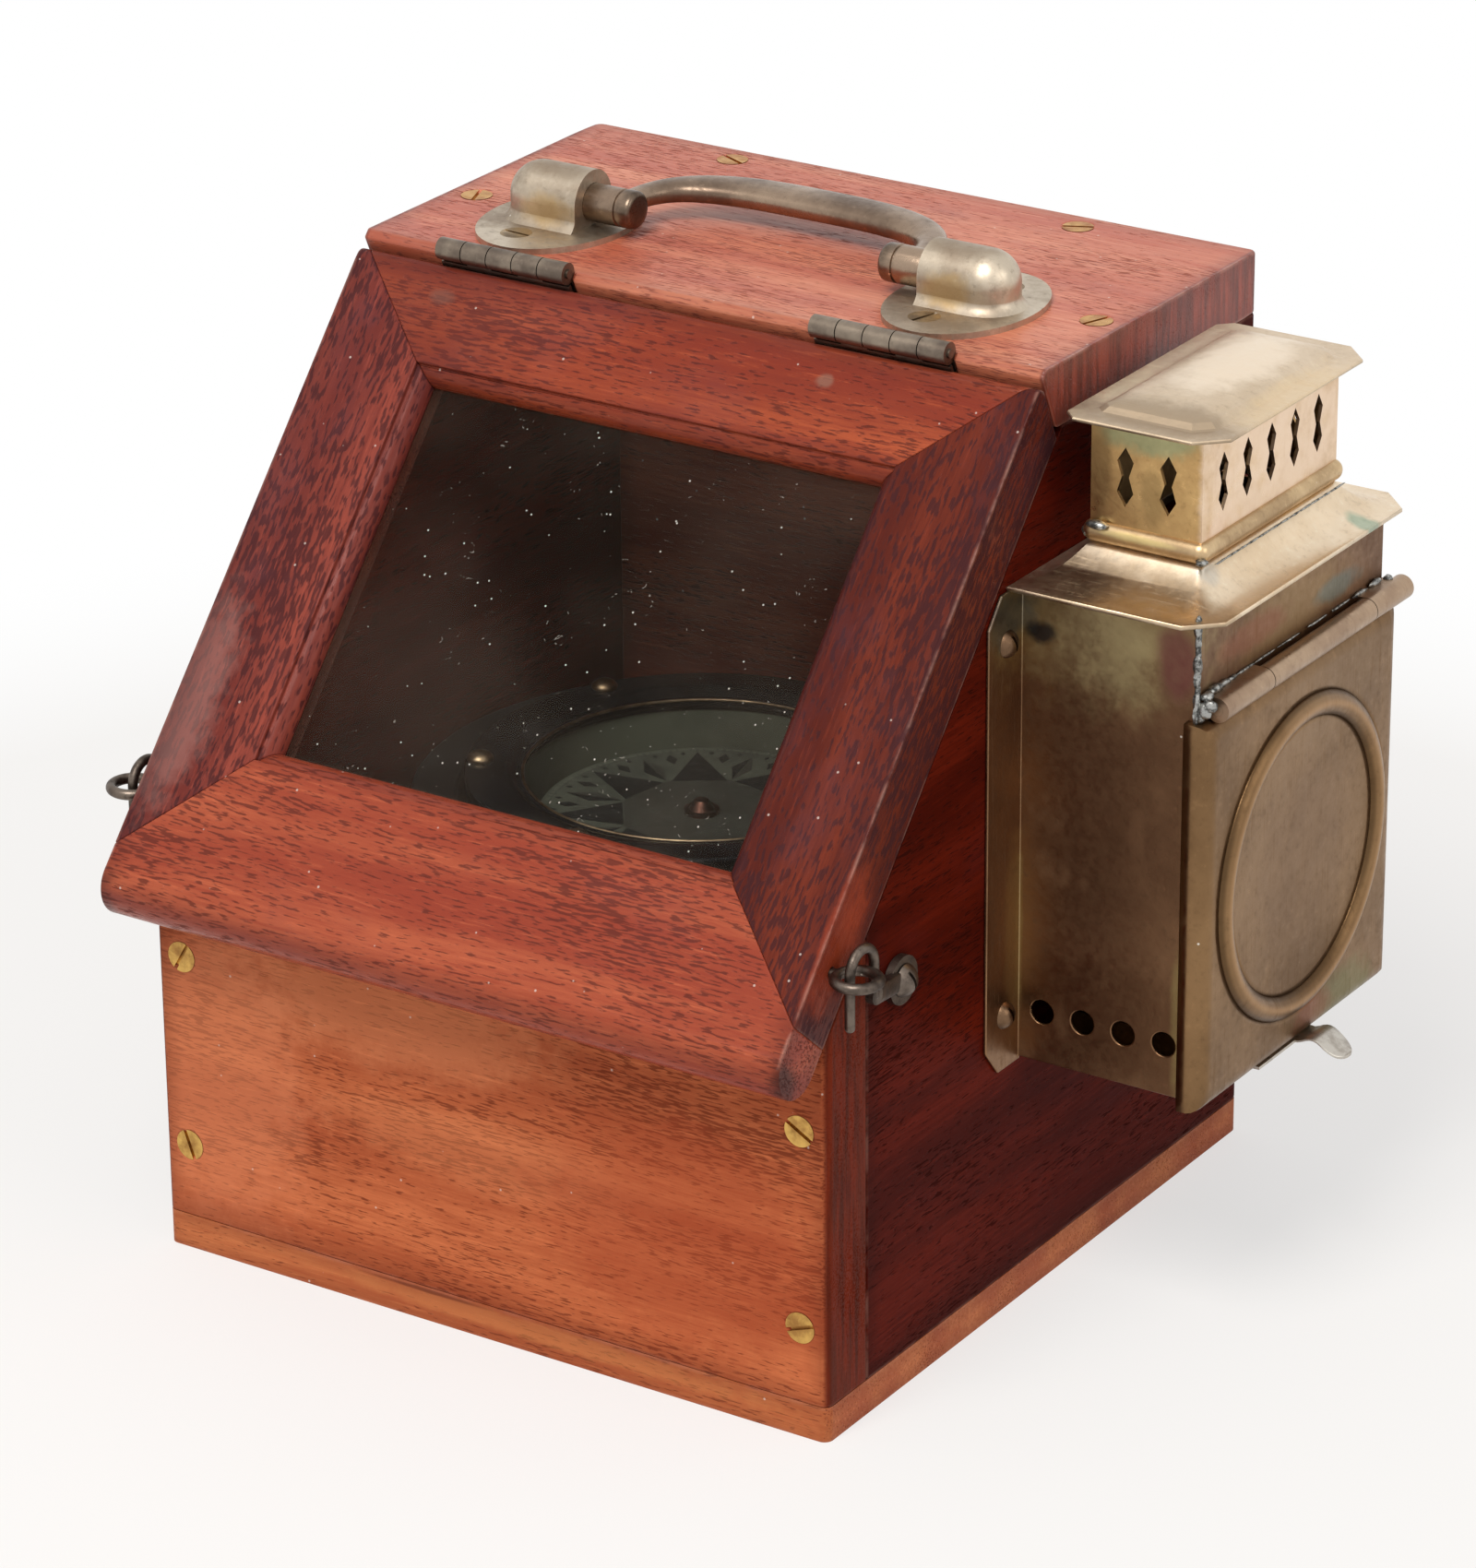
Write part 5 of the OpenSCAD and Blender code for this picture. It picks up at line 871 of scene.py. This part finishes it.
edge_radius, edge_z, edge_thick = 46.0, 120.7, 0.45
edge_line = [(edge_radius + edge_thick * math.cos(turn), edge_z + edge_thick * math.sin(turn))
             for turn in (2 * math.pi * k / 8 for k in range(9))]
worn_bronze = brass("worn_bronze", tone(146, 126, 98), tone(104, 86, 66), rough=0.38, cloud=120.0)
made("bezel_edge", *skin_of(turned(edge_line), ends=(False, False)), worn_bronze,
     "compass", "brass_bright", sharp=80)
bezel_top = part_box("bezel_screws")[1].z * 1000 - 2.3
dome_line = [(r, bezel_top + up) for r, up in ((1.3, -5), (1.3, 0.02), (3.5, 0.02), (3.6, 0.4), (3.3, 1.1),
                                               (2.5, 1.8), (1.4, 2.2), (0.3, 2.3))]
dome_circle = 57
dome_spots = [(dome_circle * math.cos(turn), compass_y + dome_circle * math.sin(turn))
              for turn in (math.radians(30 + 60 * k) for k in range(6))]
made("bezel_domes", *joined(*(skin_of(turned(dome_line, 28, spot)) for spot in dome_spots)),
     worn_bronze, "compass", "brass_bright", "bezel_screws")

# --- Card ------------------------------------------------------------------------------------------------
# An olive-grey paper card with a paler band of degrees and a printed star of points. Its dark bronze
# cap turns on a pointed pivot, and two bar magnets are slung under it.

def card_paper():
    """Olive-grey paper with a paler band near its edge: a thin circle, and ticks at every 5 and 10 degrees."""
    f = Finish("card_paper")
    place = f.here()
    x, y, _ = f.split(f.vector("SUBTRACT", place, (0, compass_y / 1000, 0)))
    out = f.radius(x, y)
    turn = f.math("ARCTAN2", y, x)
    haze = f.noise(place, 60.0, 5.0, 0.65)
    tint = f.mix(f.step(haze, 0.35, 0.68), tone(80, 83, 70), tone(64, 67, 57))
    band = f.times(f.step(out, 0.0403, 0.0405), f.step(out, 0.0420, 0.0416))
    tint = f.mix(f.times(band, 0.7), tint, tone(92, 96, 81))
    lines = f.step(f.apart(out, 0.0404), 0.0002, 0.0001)
    for count, inner, outer, wide in ((72, 0.0404, 0.0418, 0.10), (36, 0.0396, 0.0418, 0.075)):
        wave = f.apart(f.math("FRACT", f.times(turn, count / (2 * math.pi))), 0.5)
        ring = f.times(f.step(out, inner, inner + 0.0001), f.step(out, outer, outer - 0.0001))
        lines = f.larger(lines, f.times(f.step(wave, wide, wide * 0.6), ring))
    tint = f.mix(f.times(lines, 0.5), tint, tone(34, 36, 32))
    return f.finished(tint, f.step(haze, 0.3, 0.7, 0.55, 0.7), (haze, 0.2, 0.0002))


dress(card_paper(), "compass_card")
dress(brass("cap_bronze", tone(98, 66, 54), tone(62, 42, 36), rough=0.4, cloud=200.0), "card_cap")
dress(tab_steel, "card_magnets")


def star(kind):
    """Flat printed figures of the card's star: broad points, slim two-tone points between them, and lozenges."""
    printed_z, ink_high = 108.56, 0.04
    figures = []

    def figure(turn, corners):
        c, s = math.cos(math.radians(turn)), math.sin(math.radians(turn))
        figures.append(skin_of([[(u * c - v * s, compass_y + u * s + v * c, z) for u, v in corners]
                                for z in (printed_z, printed_z + ink_high)]))

    if kind == "pale":
        octagon = [math.radians(57.5 + 45 * i) for i in range(8)]
        figure(0, [(21.7 * math.cos(turn), 21.7 * math.sin(turn)) for turn in octagon])
    for broad, slim in ((35 + 45 * i, 57.5 + 45 * i) for i in range(8)):
        if kind == "pale":
            figure(slim, [(22.6, -0.1), (37.4, -0.1), (30, -2.6)])
            continue
        figure(broad, [(20.3, -7.2), (39.2, 0), (20.3, 7.2)])
        figure(slim, [(22.6, 0.1), (30, 3.0), (37.4, 0.1)])
        for off in (-11.25, 11.25):
            figure(broad + off, [(32.0, 0), (35.2, -1.5), (38.4, 0), (35.2, 1.5)])
        for off in (-16.9, -5.6, 5.6, 16.9):
            figure(broad + off, [(37.4, 0), (38.5, -0.7), (39.6, 0), (38.5, 0.7)])
    return joined(*figures)


for kind, fresh, worn in (("dark", tone(14, 15, 14), tone(32, 33, 29)),
                          ("pale", tone(50, 50, 43), tone(62, 64, 54))):
    ink = mottled(kind + "_ink", 150.0, fresh, worn, (0.5, 0.72), (0.5, 0.7), knit=0.7)
    made("card_star_" + kind, *star(kind), ink, "card", "card_paper")
